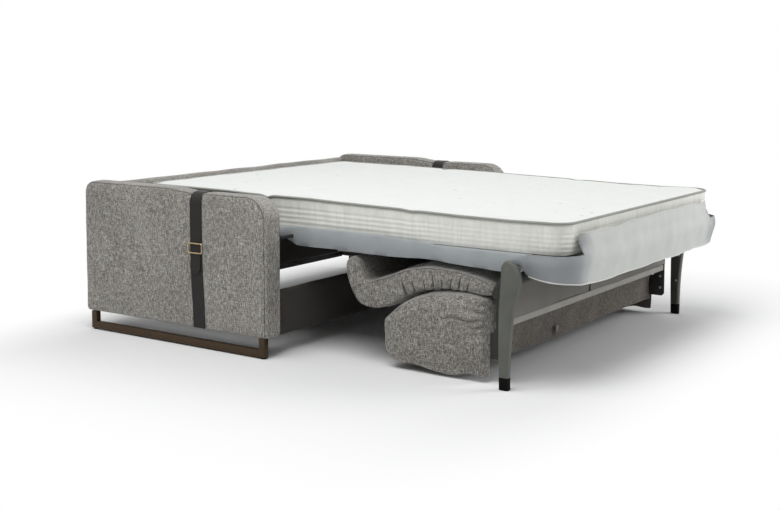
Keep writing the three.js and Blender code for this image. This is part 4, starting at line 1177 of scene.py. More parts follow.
@dataclass
class Body:
    """Arms, back panel, rails, straps and sleds."""

    shape: ArmShape = field(default_factory=ArmShape)
    inner: float = 0.819
    outer: float = 0.907
    strap_centre: float = 0.63
    strap_half: float = 0.0305
    strap_thick: float = 0.0035
    strap_bend: float = 0.040
    thread_out: float = 0.0262
    tail_thread_top: float = 0.366
    crown: float = 0.005
    voxel: float = 0.0055
    groove: float = 0.0022
    seam_radius: float = 0.0014
    bed_level: float = 0.45
    # How far forward the inner faces get the dark lining, partly painted shade
    lining_front: float = 0.93

    def build(self) -> None:
        """Makes every piece that stands still."""
        for side in Side:
            self.arm(side)
            self.strap(side)
            self.sled(side)
        self.back_panel()
        self.front_rail()
        fitted("rear_rail", "rear_rail_angle", 0.001, BLACK_STEEL, "root")

    @staticmethod
    def remeshed(node: str, voxel: float) -> Piece:
        """A copy of a soft solid in small even faces of the voxel's size."""
        made = Maker.copy_node(node, f"{node}_cover")
        step = made.modifiers.new("even", "REMESH")
        step.mode, step.voxel_size, step.use_smooth_shade = "VOXEL", voxel, True
        axes = {"use_axis_x": True, "use_axis_y": True, "use_axis_z": True}
        with edited(Maker.bake(made).data) as work:
            for _ in range(4):
                bmesh.ops.smooth_vert(work, verts=work.verts, factor=0.5, **axes)
        return Maker.soften(made)

    def strap_middle(self, z: Array) -> Array:
        """The strap's middle line on the outer face, which swings forward lower down."""
        return self.strap_centre + 0.012 * (1 - smooth(z, 0.06, 0.36))

    def arm(self, side: Side) -> None:
        """One arm: crowned faces, drawn in under the strap, with a seam round each face."""
        node = f"arm_{side.word}"
        low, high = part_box(node)
        made = self.remeshed(node, self.voxel)
        p, n = Maker.points(made), Maker.normals(made)
        u, nu = p[:, 0] * side.value, n[:, 0] * side.value
        outward = nu > 0
        reach = np.abs(p[:, 1] - np.where(outward, self.strap_middle(p[:, 2]), self.strap_centre))
        held = np.where(outward | (p[:, 2] > 0.32), 1.0, 0.0)
        free = 1 - held * (1 - smooth(reach, self.strap_half, self.strap_half + 0.05))
        gaps = [p[:, 1], self.shape.front - p[:, 1], p[:, 2] - low.z, high.z - p[:, 2]]
        inset = np.minimum.reduce(gaps)
        full = smooth(inset, 0.0, 0.12)
        pulls = ripple(p[:, 1], p[:, 2], 0.16, 11 + side.value) * 0.0008
        beside = np.exp(-((reach - self.strap_half - 0.024) / 0.019) ** 2) * held
        near = np.exp(-((reach - self.strap_half - 0.012) / 0.016) ** 2)
        pinch = near * ripple(p[:, 1] * 0.2, p[:, 2], 0.06, 21) * 0.0012 * held
        swell = (self.crown * full + 0.001 + pulls) * free
        swell = swell + beside * 0.0028 * smooth(inset, 0.0, 0.04) + pinch * free
        flat_face = np.abs(nu) > 0.5
        u += np.where(flat_face, np.sign(nu) * swell, 0)
        p[:, 2] += np.where((n[:, 2] > 0.5) & ~flat_face, 0.002 * free - 0.0005, 0)
        inside, out_s, out_z = self.shape.depth(p[:, 1], p[:, 2])
        round_edge, square = self.shape.edge, 4.5
        above = round_edge - inside
        for face, way in ((self.outer, 1), (self.inner, -1)):
            across = way * (u - face) + round_edge
            far = np.maximum(np.hypot(across, above), TINY)
            corner = (across > 0) & (above > 0)
            both = (np.abs(across) / far) ** square + (np.abs(above) / far) ** square
            stretch = both ** (-1 / square) - 1
            grow = np.where(corner, stretch * smooth(far, 0.25 * round_edge, round_edge), 0)
            u += way * across * grow
            p[:, 1] += out_s * above * grow
            p[:, 2] += out_z * above * grow
        most, clear = self.crown + 0.004, 0.0004
        u = np.clip(u, self.inner - most, self.outer + most)
        under = (reach < self.strap_half + 0.003) & (held > 0)
        bend = self.strap_bend - clear
        for face, way in ((self.outer, 1), (self.inner, -1)):
            across, above = way * (u - face) + bend, p[:, 2] - (self.shape.front_top - bend)
            far = np.hypot(across, above)
            squeeze = under & (across > 0) & (above > 0) & (far > bend)
            pull = bend / np.maximum(far, 1e-6) - 1
            u[squeeze] += way * (across * pull)[squeeze]
            p[squeeze, 2] += (above * pull)[squeeze]
            flush = under & (way * (u - face) > -clear)
            u[flush] = face - way * clear
        p[under, 2] = np.minimum(p[under, 2], self.shape.front_top - clear)
        p[:, 0] = u * side.value
        seams = []
        for label, face, way, front in (("outer", self.outer, 1, 0.012), ("inner", self.inner, -1, 0.003)):
            line = self.shape.seam(0.003, front)
            path = np.column_stack([side.value * (face - way * line[:, 2] * 0.35), line[:, 0], line[:, 1]])
            p -= n * (self.groove * np.exp(-(Maker.away(p, path) / 0.0045) ** 2))[:, None]
            seams.append((f"arm_seam_{label}_{side.word}", path))
        Maker.place(made, p)
        for name, path in seams:
            welt(name, Maker.laid(made, path, 0.0), self.seam_radius, SEAM_AND_CREASE_SHADE, "root", sides=6)
        dress(made, WEAVE, "root", [node])
        # Inner faces below the bed: a dark lining, partly painted shade under the bed.
        lined(made, RAIL_CLOTH_AND_SHADE, lambda c, n: (c.z < self.bed_level and n.x * side.value < -FACING
                                              and REAR_Y - c.y < self.lining_front))

    def back_panel(self) -> None:
        """The upholstered back, crowned a little on both faces."""
        made = self.remeshed("back_panel", 0.009)
        low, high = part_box("back_panel")
        p, n = Maker.points(made), Maker.normals(made)
        gaps = [high.x - np.abs(p[:, 0]), p[:, 2] - low.z, high.z - p[:, 2]]
        full = smooth(np.minimum.reduce(gaps), 0, 0.1)
        bulge = np.where(n[:, 1] > 0.4, 0.003, 0.0) * full + ripple(p[:, 0], p[:, 2], 0.2, 5) * 0.0006
        p += n * bulge[:, None]
        p[:, 1] = np.maximum(p[:, 1], 0.0005)
        p[:, 2] += np.where(n[:, 2] > 0.5, ripple(p[:, 0], p[:, 0] * 0, 0.3, 8) * 0.0012, 0)
        Maker.place(made, p)
        dress(made, WEAVE, "root", ["back_panel"])
        # Front and lower faces below the bed: a dark lining, partly painted shade under the bed.
        lined(made, RAIL_CLOTH_AND_SHADE, lambda c, n: c.z < self.bed_level and min(n.y, n.z) < -FACING)

    def front_rail(self) -> None:
        """The low cloth-covered rail between the arms, its dark cloth partly painted shade under the bed."""
        made = self.remeshed("front_rail", 0.008)
        p, n = Maker.points(made), Maker.normals(made)
        p += n * (ripple(p[:, 0], p[:, 2], 0.22, 9) * 0.0008)[:, None]
        Maker.place(made, p)
        dress(made, RAIL_CLOTH_AND_SHADE, "root", ["front_rail"])

    def strap_line(self, side: Side) -> Array:
        """Middle line of a strap, from its outer end: rows of x, s, z and the outward x and z."""
        lift = 0.0002 + self.strap_thick / 2
        top, r = self.shape.front_top, self.strap_bend
        rows = [(self.outer + lift, z, 1, 0) for z in np.linspace(0.0805, top - r, 70)]
        for centre, first, last in ((self.outer - r, 0, 90), (self.inner + r, 90, 180)):
            rows += [(centre + (r + lift) * math.cos(a), top - r + (r + lift) * math.sin(a),
                      math.cos(a), math.sin(a)) for a in np.radians(np.linspace(first, last, 16))]
        rows += [(self.inner - lift, z, -1, 0) for z in np.linspace(top - r, 0.3305, 40)]
        line = np.array(rows)
        line = line[np.concatenate([[True], np.linalg.norm(np.diff(line[:, :2], axis=0), axis=1) > 1e-6])]
        middle = np.where(line[:, 2] > 0.5, self.strap_middle(line[:, 1]), self.strap_centre)
        return np.column_stack([line[:, 0] * side.value, middle, line[:, 1],
                                line[:, 2] * side.value, line[:, 3]])

    @staticmethod
    def tail_lean(z: Array) -> Array:
        """How far the tail stands off the strap at a height: its round end curls outwards."""
        return 0.0028 * (1 - smooth(z, 0.292, 0.35)) + 0.0004

    @staticmethod
    def band(name: str, line: Array, half: Array, thick: float) -> Piece:
        """A flat leather band with eased edges.

        Args:
            name: object name.
            line: rows of x, s, z and the outward x and z.
            half: half width at each row.
            thick: thickness.

        Returns:
            The band, not yet on a body.
        """
        turn = np.linspace(0, 2 * math.pi, 28, endpoint=False)
        across = np.sign(np.cos(turn)) * np.abs(np.cos(turn)) ** 0.45
        height = np.sign(np.sin(turn)) * np.abs(np.sin(turn)) ** 0.35 * thick / 2
        rings = [[(x + nx * b, s + a * h, z + nz * b) for a, b in zip(across, height)]
                 for (x, s, z, nx, nz), h in zip(line, half)]
        return Maker.sharpen(Maker.loft(name, np.array(rings)), 50)

    def strap(self, side: Side) -> None:
        """Strap, tail and buckle on one arm, with thread along the edges."""
        line = self.strap_line(side)
        halves = np.full(len(line), self.strap_half)
        band = self.band(f"strap_band_{side.word}", line, halves, self.strap_thick)
        dress(band, STRAP, "root", [f"strap_{side.word}"])
        lift = self.strap_thick / 2 + 0.0001
        for tag, way in (("rear", -1), ("front", 1)):
            shift = np.full(len(line), way * self.thread_out)
            path = line[:, :3] + np.column_stack([line[:, 3] * lift, shift, line[:, 4] * lift])
            stitches(f"strap_thread_{tag}_{side.word}", path, STITCH, "root")
        low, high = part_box(f"strap_tail_{side.word}")
        thick, half = high.x - low.x, (high.y - low.y) / 2
        middle = REAR_Y - (low.y + high.y) / 2
        outside = max(abs(low.x), abs(high.x))
        up = (high.z - low.z) * np.linspace(0, 1, 44) ** 1.8
        widths = np.sqrt(np.maximum(half**2 - np.maximum(half - up, 0) ** 2, 1e-7))
        lean = self.tail_lean(low.z + up)
        rows = [(side.value * (outside - thick / 2 + b), middle, low.z + h, side.value, 0)
                for h, b in zip(up, lean)]
        tail = self.band(f"strap_tip_{side.word}", np.array(rows), widths, thick)
        dress(tail, STRAP, "root", [f"strap_tail_{side.word}"])
        hem = 0.004
        radius = half - hem
        arc = [(middle + radius * math.cos(a), low.z + hem + radius + radius * math.sin(a))
               for a in np.radians(np.linspace(180, 360, 30))]
        top = self.tail_thread_top
        edge = np.array([(middle - radius, top), *arc, (middle + radius, top)])
        proud = outside + 0.0001 + self.tail_lean(edge[:, 1])
        stitches(f"tail_thread_{side.word}", np.column_stack([side.value * proud, edge]), STITCH, "root")
        self.buckle(side)

    def buckle(self, side: Side) -> None:
        """The thin rectangular buckle, bent from one wire."""
        low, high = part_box(f"buckle_{side.word}")
        wire, corner = (high.x - low.x) / 2, 0.0045
        half_s, half_z = (high.y - low.y) / 2 - wire, (high.z - low.z) / 2 - wire
        middle, centre = REAR_Y - (low.y + high.y) / 2, (low.z + high.z) / 2
        path = []
        for first, ws, wz in ((0, 1, 1), (90, -1, 1), (180, -1, -1), (270, 1, -1)):
            for a in np.radians(np.linspace(first, first + 90, 7)):
                path.append(((low.x + high.x) / 2, middle + ws * (half_s - corner) + corner * math.cos(a),
                             centre + wz * (half_z - corner) + corner * math.sin(a)))
        name = f"buckle_frame_{side.word}"
        made = welt(name, np.array(path), wire * 0.98, BRASS, closed=True, sides=14)
        dress(made, BRASS, "root", [f"buckle_{side.word}"])

    def sled(self, side: Side) -> None:
        """The flat-tube sled, its two glides and the side plate."""
        word = side.word
        fitted(f"sled_{word}", f"sled_frame_{word}", 0.0022, BRONZE, "root", segments=3)
        for end in ("rear", "front"):
            fitted(f"{end}_glide_{word}", f"{end}_glide_{word}_pad", 0.001, PLASTIC, "root")
        fitted(f"side_plate_{word}", f"mount_plate_{word}", 0.0012, BLACK_STEEL, "root")


class Stretch(Enum):
    """The stretches of the bed, from the head to the foot.

    Each holds its name, first s, last s, the end of the solid's name, and the carrying frame.
    """

    HEAD = ("head", 0.0, 0.7754, "head", "head_frame")
    CREASE = ("crease", 0.7754, 0.9397, "bend", "middle_frame")
    MIDDLE = ("middle", 0.9397, 1.3542, "middle", "middle_frame")
    FOLD_A = ("fold_rear", 1.3542, 1.5135, "fold", "fold_link")
    FOLD_B = ("fold_front", 1.5135, 1.6728, "fold", "fold_link")
    FOOT = ("foot", 1.6728, 3.0, "foot", "foot_frame")

    def __init__(self, label: str, first: float, last: float, solid: str, carrier: str) -> None:
        """Keeps the values under their names."""
        self.label, self.first, self.last = label, first, last
        self.solid, self.carrier = solid, carrier


@dataclass
class Bed:
    """Mattress, bed cloth, frames and webbing."""

    half: float = 0.675
    start: float = 0.132
    end: float = 2.083
    low: float = 0.459
    height: float = 0.122
    corner: float = 0.07
    flap: tuple[float, float] = (-0.602, 0.575)
    head_hinge: float = 0.794
    seam_drop: float = 0.006
    rib_depth: float = 0.0024
    columns: int = 110
    rows: int = 240
    levels: int = 26
    cloth_thick: float = 0.0014
    band_thick: float = 0.0022
    piping_radius: float = 0.0050
    piping_out: float = 0.0025
    piping_up: float = 0.0012
    top_facing: float = 0.8
    cloth_span: tuple[float, float] = (0.205, 1.96)
    cloth_level: float = 0.4562
    # How far the top stands above its drawn level, along s
    lift: Outline = (
        (0.13, 0.0118), (0.58, 0.0115), (0.68, 0.0085), (0.79, 0.0072), (1.00, 0.0078), (1.14, 0.0042),
        (1.42, 0.0004), (1.66, -0.0048), (1.88, -0.0056), (2.00, -0.0026), (2.083, -0.003))

    def build(self) -> None:
        """Makes the bed from the mattress down."""
        self.mattress()
        self.cloth()
        self.foot_cloth()
        self.frames()

    def plan(self, x: Array, s: Array) -> tuple[Array, Array]:
        """Rounds the corners of a rectangle of points in plan.

        Args:
            x, s: points of the rectangle.

        Returns:
            The same points, with the corners drawn onto their arcs.
        """
        r = self.corner
        cx, cs0, cs1 = self.half - r, self.start + r, self.end - r
        dx = np.maximum(np.abs(x) - cx, 0)
        ds = np.where(s < cs0, cs0 - s, np.where(s > cs1, s - cs1, 0))
        far = np.hypot(dx, ds)
        pull = np.where((dx > 0) & (ds > 0), np.maximum(dx, ds) / np.maximum(far, TINY), 1)
        new_x = np.sign(x) * (np.minimum(np.abs(x), cx) + dx * pull)
        new_s = np.where(s < cs0, cs0 - ds * pull, np.where(s > cs1, cs1 + ds * pull, s))
        return new_x, new_s

    def top(self, x: Array, s: Array, edge: Array) -> Array:
        """Height of the mattress top, from the place and how far it is from the edge."""
        level = self.low + self.height + 0.006 - 0.011 * (s - self.start) / (self.end - self.start)
        level = level + np.interp(s, *zip(*self.lift))
        roll = -self.seam_drop * 1.4 * (1 - smooth(edge, -0.002, 0.045))
        quilt = ripple(x, s, 0.11, 31) * 0.0013 + ripple(x, s, 0.35, 32) * 0.0016
        out = np.abs(x)
        crease = -0.010 * np.exp(-((s - self.head_hinge) / 0.02) ** 2)
        crease = crease * (0.25 + 0.4 * smooth(out, 0.4, 0.67))
        second = -0.003 * np.exp(-((s - 1.47) / 0.03) ** 2) * smooth(out, 0.3, 0.67)
        return level + roll + quilt * smooth(edge, 0, 0.08) + crease + second

    def side(self, level: Array, run: Array, along: Array) -> Array:
        """How far the border stands out.

        Args:
            level: height share.
            run: place round the mattress.
            along: s on the long sides, x on the short ones.

        Returns:
            The distance outwards.
        """
        round_off = np.sin(np.pi * level)
        bulge = round_off ** 0.5 * 0.004
        grooves = sum(np.exp(-((level - line) / 0.028) ** 2) for line in (0.05, 0.19, 0.35, 0.49, 0.65))
        wave = ripple(run, level * 0.05, 0.12, 41) * 0.0009
        pitch = 0.1165
        offset = (along + 0.012 * np.sin(along * 23) - 0.015 + pitch / 2) % pitch - pitch / 2
        upright = np.exp(-(offset / 0.007) ** 2)
        plain = 1 - 0.65 * smooth(along, 1.3, 1.75)
        ribs = bulge * (1 - 0.3 * upright) - self.rib_depth * grooves * plain
        return ribs - 0.0022 * upright * round_off + wave * round_off

    def mattress(self) -> None:
        """One mattress, cut across into stretches that fold."""
        xs = np.linspace(-self.half, self.half, self.columns)
        ss = np.linspace(self.start, self.end, self.rows)
        flat_x, flat_s = np.meshgrid(xs, ss)
        gx, gs = self.plan(flat_x, flat_s)
        edge = np.minimum(self.half - np.abs(flat_x), np.minimum(flat_s - self.start, self.end - flat_s))
        top = np.dstack([gx, gs, self.top(gx, gs, edge)])
        bottom = np.dstack([gx, gs, np.full_like(gx, self.low)])
        loop = [(0, j) for j in range(self.columns)]
        loop += [(i, self.columns - 1) for i in range(1, self.rows)]
        loop += [(self.rows - 1, j) for j in range(self.columns - 2, -1, -1)]
        loop += [(i, 0) for i in range(self.rows - 2, 0, -1)]
        ring = np.array([top[i, j] for i, j in loop])
        along = np.roll(ring[:, :2], -1, 0) - np.roll(ring[:, :2], 1, 0)
        out = np.column_stack([along[:, 1], -along[:, 0]])
        out /= np.linalg.norm(out, axis=1, keepdims=True)
        run = run_along(ring[:, :2])
        placed = np.where(np.abs(out[:, 0]) > 0.7, ring[:, 1], ring[:, 0])
        size, turns = self.rows * self.columns, len(loop)
        points = [top.reshape(-1, 3), bottom.reshape(-1, 3)]
        grid = Maker.grid_faces(self.rows, self.columns)
        faces = [tuple(reversed(f)) for f in grid] + [tuple(size + v for v in f) for f in grid]
        upper = [i * self.columns + j for i, j in loop]
        belts = [upper]
        for k in range(1, self.levels):
            share = 1 - k / self.levels
            shift = self.side(np.full(turns, share), run, placed)
            height = self.low + (ring[:, 2] - self.low) * share
            points.append(np.column_stack([ring[:, :2] + out * shift[:, None], height]))
            base = 2 * size + (k - 1) * turns
            belts.append(list(range(base, base + turns)))
        belts.append([size + v for v in upper])
        for above, below in zip(belts, belts[1:]):
            for a in range(turns):
                b = (a + 1) % turns
                faces.append((above[a], above[b], below[b], below[a]))
        whole = Maker.outward(Maker.from_faces("mattress_whole", to_row(np.vstack(points)), faces))
        for stretch in Stretch:
            made = self.slice(whole, f"mattress_{stretch.label}", stretch, True)
            dress(Maker.sharpen(made, 60), KNIT)
            lined(made, BORDER, lambda c, n: n.z <= self.top_facing)
            self.attach(made, stretch)
            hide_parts(f"mattress_{stretch.solid}")
        bpy.data.objects.remove(whole, do_unlink=True)
        path = np.column_stack([ring[:, :2] + out * self.piping_out, ring[:, 2] + self.piping_up])
        cord = welt("piping_whole", path, self.piping_radius, PIPING, closed=True)
        for stretch in Stretch:
            made = self.slice(cord, f"piping_{stretch.label}", stretch, False)
            self.attach(dress(made, PIPING), stretch)
        bpy.data.objects.remove(cord, do_unlink=True)

    def slice(self, whole: Piece, name: str, stretch: Stretch, cap: bool) -> Piece:
        """Cuts out the part of a mesh that lies in one stretch.

        Args:
            whole: the mesh to cut.
            name: name of the part.
            stretch: which stretch.
            cap: whether the cuts are closed.

        Returns:
            The part.
        """
        mesh = whole.data.copy()
        with edited(mesh) as work:
            for s, keep in ((stretch.first, -1), (stretch.last, 1)):
                everything = work.verts[:] + work.edges[:] + work.faces[:]
                bmesh.ops.bisect_plane(work, geom=everything, dist=1e-7, plane_co=row_point(0, s, 0),
                                       plane_no=(0, keep, 0), clear_inner=True)
            if cap:
                bmesh.ops.holes_fill(work, edges=[e for e in work.edges if e.is_boundary], sides=0)
            bmesh.ops.recalc_face_normals(work, faces=work.faces)
        return Maker.adopt(name, mesh)

    def attach(self, made: Piece, stretch: Stretch) -> None:
        """Puts a soft piece of the bed on its body; a piece of a fold stretch stays where it is, on no body."""
        if stretch in (Stretch.FOLD_A, Stretch.FOLD_B):
            row_point(0, stretch.first, 0)
            row_point(0, stretch.last, 0)
            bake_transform(made)
        elif stretch is Stretch.CREASE:
            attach(made, "middle")
            row_point(0, stretch.last, 0.5)
            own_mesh(made)
        else:
            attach(made, stretch.label)

    def section(self, s: float) -> list[Point]:
        """Half of the bed cloth's path across the bed at one s, from the middle to its lower edge."""
        wave = 0.0018 * math.sin(s * 31) + 0.0013 * math.sin(s * 73 + 1)
        lower = float(np.interp(s, (0.9, 0.96, 1.2, 1.42, 1.54, 1.63, 1.75, 1.84, 1.96),
                                (0.43, 0.407, 0.404, 0.403, 0.406, 0.403, 0.398, 0.392, 0.388)))
        lower += 0.0015 * math.sin(s * 17 + 0.5)
        lower += (0.424 - lower) * math.exp(-((s - 1.915) / 0.026) ** 4)
        upper = float(np.interp(s, (0.78, 0.96, 1.31, 1.53, 1.61, 1.93),
                                (0.462, 0.478, 0.475, 0.465, 0.4575, 0.4575)))
        drop = upper - 0.006 - lower
        skirt = [(0.7010 + wave * 0.4, 0.0), (0.7045 + wave, 0.25), (0.7055 + wave, 0.5),
                 (0.7045 + wave * 1.2, 0.75), (0.7010 + wave * 1.4, 1.0), (0.6975 + wave, 1.02)]
        return [*((x, s, self.cloth_level) for x in (0.0, 0.3, 0.6, 0.678)), (0.6855, s, 0.4566),
                (0.6895, s, (0.4566 + upper) / 2), (0.6925, s, upper - 0.0015), (0.6960, s, upper),
                (0.6990, s, upper - 0.0022), *((x, s, upper - 0.006 - drop * v) for x, v in skirt)]

    def cloth(self) -> None:
        """The bed cloth under the mattress, with a skirt down each side."""
        step, least_rows = 0.009, 6
        for stretch in Stretch:
            s0, s1 = max(stretch.first, self.cloth_span[0]), min(stretch.last, self.cloth_span[1])
            rows = []
            for s in np.linspace(s0, s1, max(least_rows, int((s1 - s0) / step))):
                half = self.section(float(s))
                if stretch in (Stretch.HEAD, Stretch.CREASE):
                    least = float(np.interp(s, (0.80, 0.92), (0.4385, 0.400)))
                    half = [(x, a, max(z, least)) for x, a, z in half]
                rows.append([(-x, a, z) for x, a, z in reversed(half)] + half[1:])
            made = Maker.sheet(f"bed_cloth_{stretch.label}", np.array(rows), self.cloth_thick, "", "laid",
                               [stretch.carrier])
            # Darker skirt colour: painted shade.
            self.attach(dress(made, SHADED_BED_CLOTH), stretch)
            if stretch is Stretch.FOOT:
                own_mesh(made)
            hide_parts(f"{stretch.solid}_cover")

    def foot_path(self) -> Array:
        """Plan of the cloth round the foot: rows of x, s, outward x and s, and run from the middle."""
        half, front, radius, start = 0.7035, 2.1215, 0.098, 1.957
        width = half - radius
        arc = math.pi / 2 * radius
        total = width + arc + front - radius - start
        steps = [np.linspace(-total, total, 250)]
        steps += [np.linspace(q - 0.008, q + 0.008, 8) for q in self.flap]
        rows = []
        for q in np.unique(np.round(np.concatenate(steps), 5)):
            sign, run = (-1 if q < 0 else 1), abs(q)
            if run < width:
                rows.append((q, front, 0, 1, q))
            elif run < width + arc:
                sine, cosine = math.sin((run - width) / radius), math.cos((run - width) / radius)
                rows.append((sign * (width + radius * sine), front - radius + radius * cosine,
                             sign * sine, cosine, q))
            else:
                rows.append((sign * half, front - radius - (run - width - arc), sign, 0, q))
        return np.array(rows)

    def foot_cloth(self) -> None:
        """One cloth round the foot: a hanging band, turned up as a flap before the mattress."""
        plan = self.foot_path()
        q = plan[:, 4]
        low = np.interp(np.abs(q), (0, 0.17, 0.5, 0.60, 0.66, 0.72, 0.78, 0.83),
                        (0.350, 0.348, 0.351, 0.356, 0.364, 0.370, 0.375, 0.384))
        low += 0.0015 * np.sin(q * 19) - 0.003 * smooth(q, 0.3, 0.6)
        left, right = self.flap
        raised = smooth(q, left - 0.004, left + 0.004) * smooth(-q, -right - 0.004, -right + 0.004)
        high = 0.4595 + raised * (0.0715 + 0.003 * np.sin(q * 7 + 1) + 0.0018 * np.sin(q * 23))
        to_end = np.minimum(np.abs(q - left), np.abs(q - right))
        rows = []
        for v in np.linspace(0, 1, 26):
            z = low + (high - low) * v
            belly = 0.007 * np.exp(-((z - 0.432) / 0.03) ** 2)
            belly = belly + 0.003 * np.exp(-((z - 0.505) / 0.02) ** 2) * raised
            uneven = ripple(q, z, 0.17, 51) * 0.0020 + ripple(q, z * 0.3, 0.07, 52) * 0.0007
            tuck = -0.011 * (1 - v) ** 3 - 0.007 * smooth(z, 0.45, 0.53)
            curl = -0.020 * np.exp(-to_end / 0.018) * smooth(z, 0.458, 0.50)
            shift = belly + uneven + tuck + curl
            rows.append(np.column_stack([plan[:, :2] + plan[:, 2:4] * shift[:, None], z]))
        band = Maker.sheet("foot_band", np.array(rows), self.band_thick, "foot", "hung",
                           ["foot_frame"])
        # Lighter at the front, with painted shade towards the corners and sides.
        dress(band, FLAP_CLOTH)
        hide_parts("foot_flap")
        welt("foot_hem_lower", rows[0], 0.0030, HEM, "foot")
        welt("foot_hem_upper", rows[-1], 0.0018, FLAP_CLOTH, "foot")

    def frames(self) -> None:
        """Tube frames, webbing and the link between the middle and the foot."""
        fitted("head_frame", "head_frame_tube", 0.004, STEEL, "head")
        fitted("middle_frame", "middle_frame_tube", 0.003, RAIL_PAINT, "middle")
        fitted("foot_frame", "foot_frame_tube", 0.003, STEEL, "foot")
        fitted("fold_link", "fold_link_tube", 0.002, STEEL, "link")
        for part in ("head", "middle", "foot"):
            fitted(f"{part}_webbing", f"{part}_webbing_net", 0.0006, WEBBING, part, segments=1)


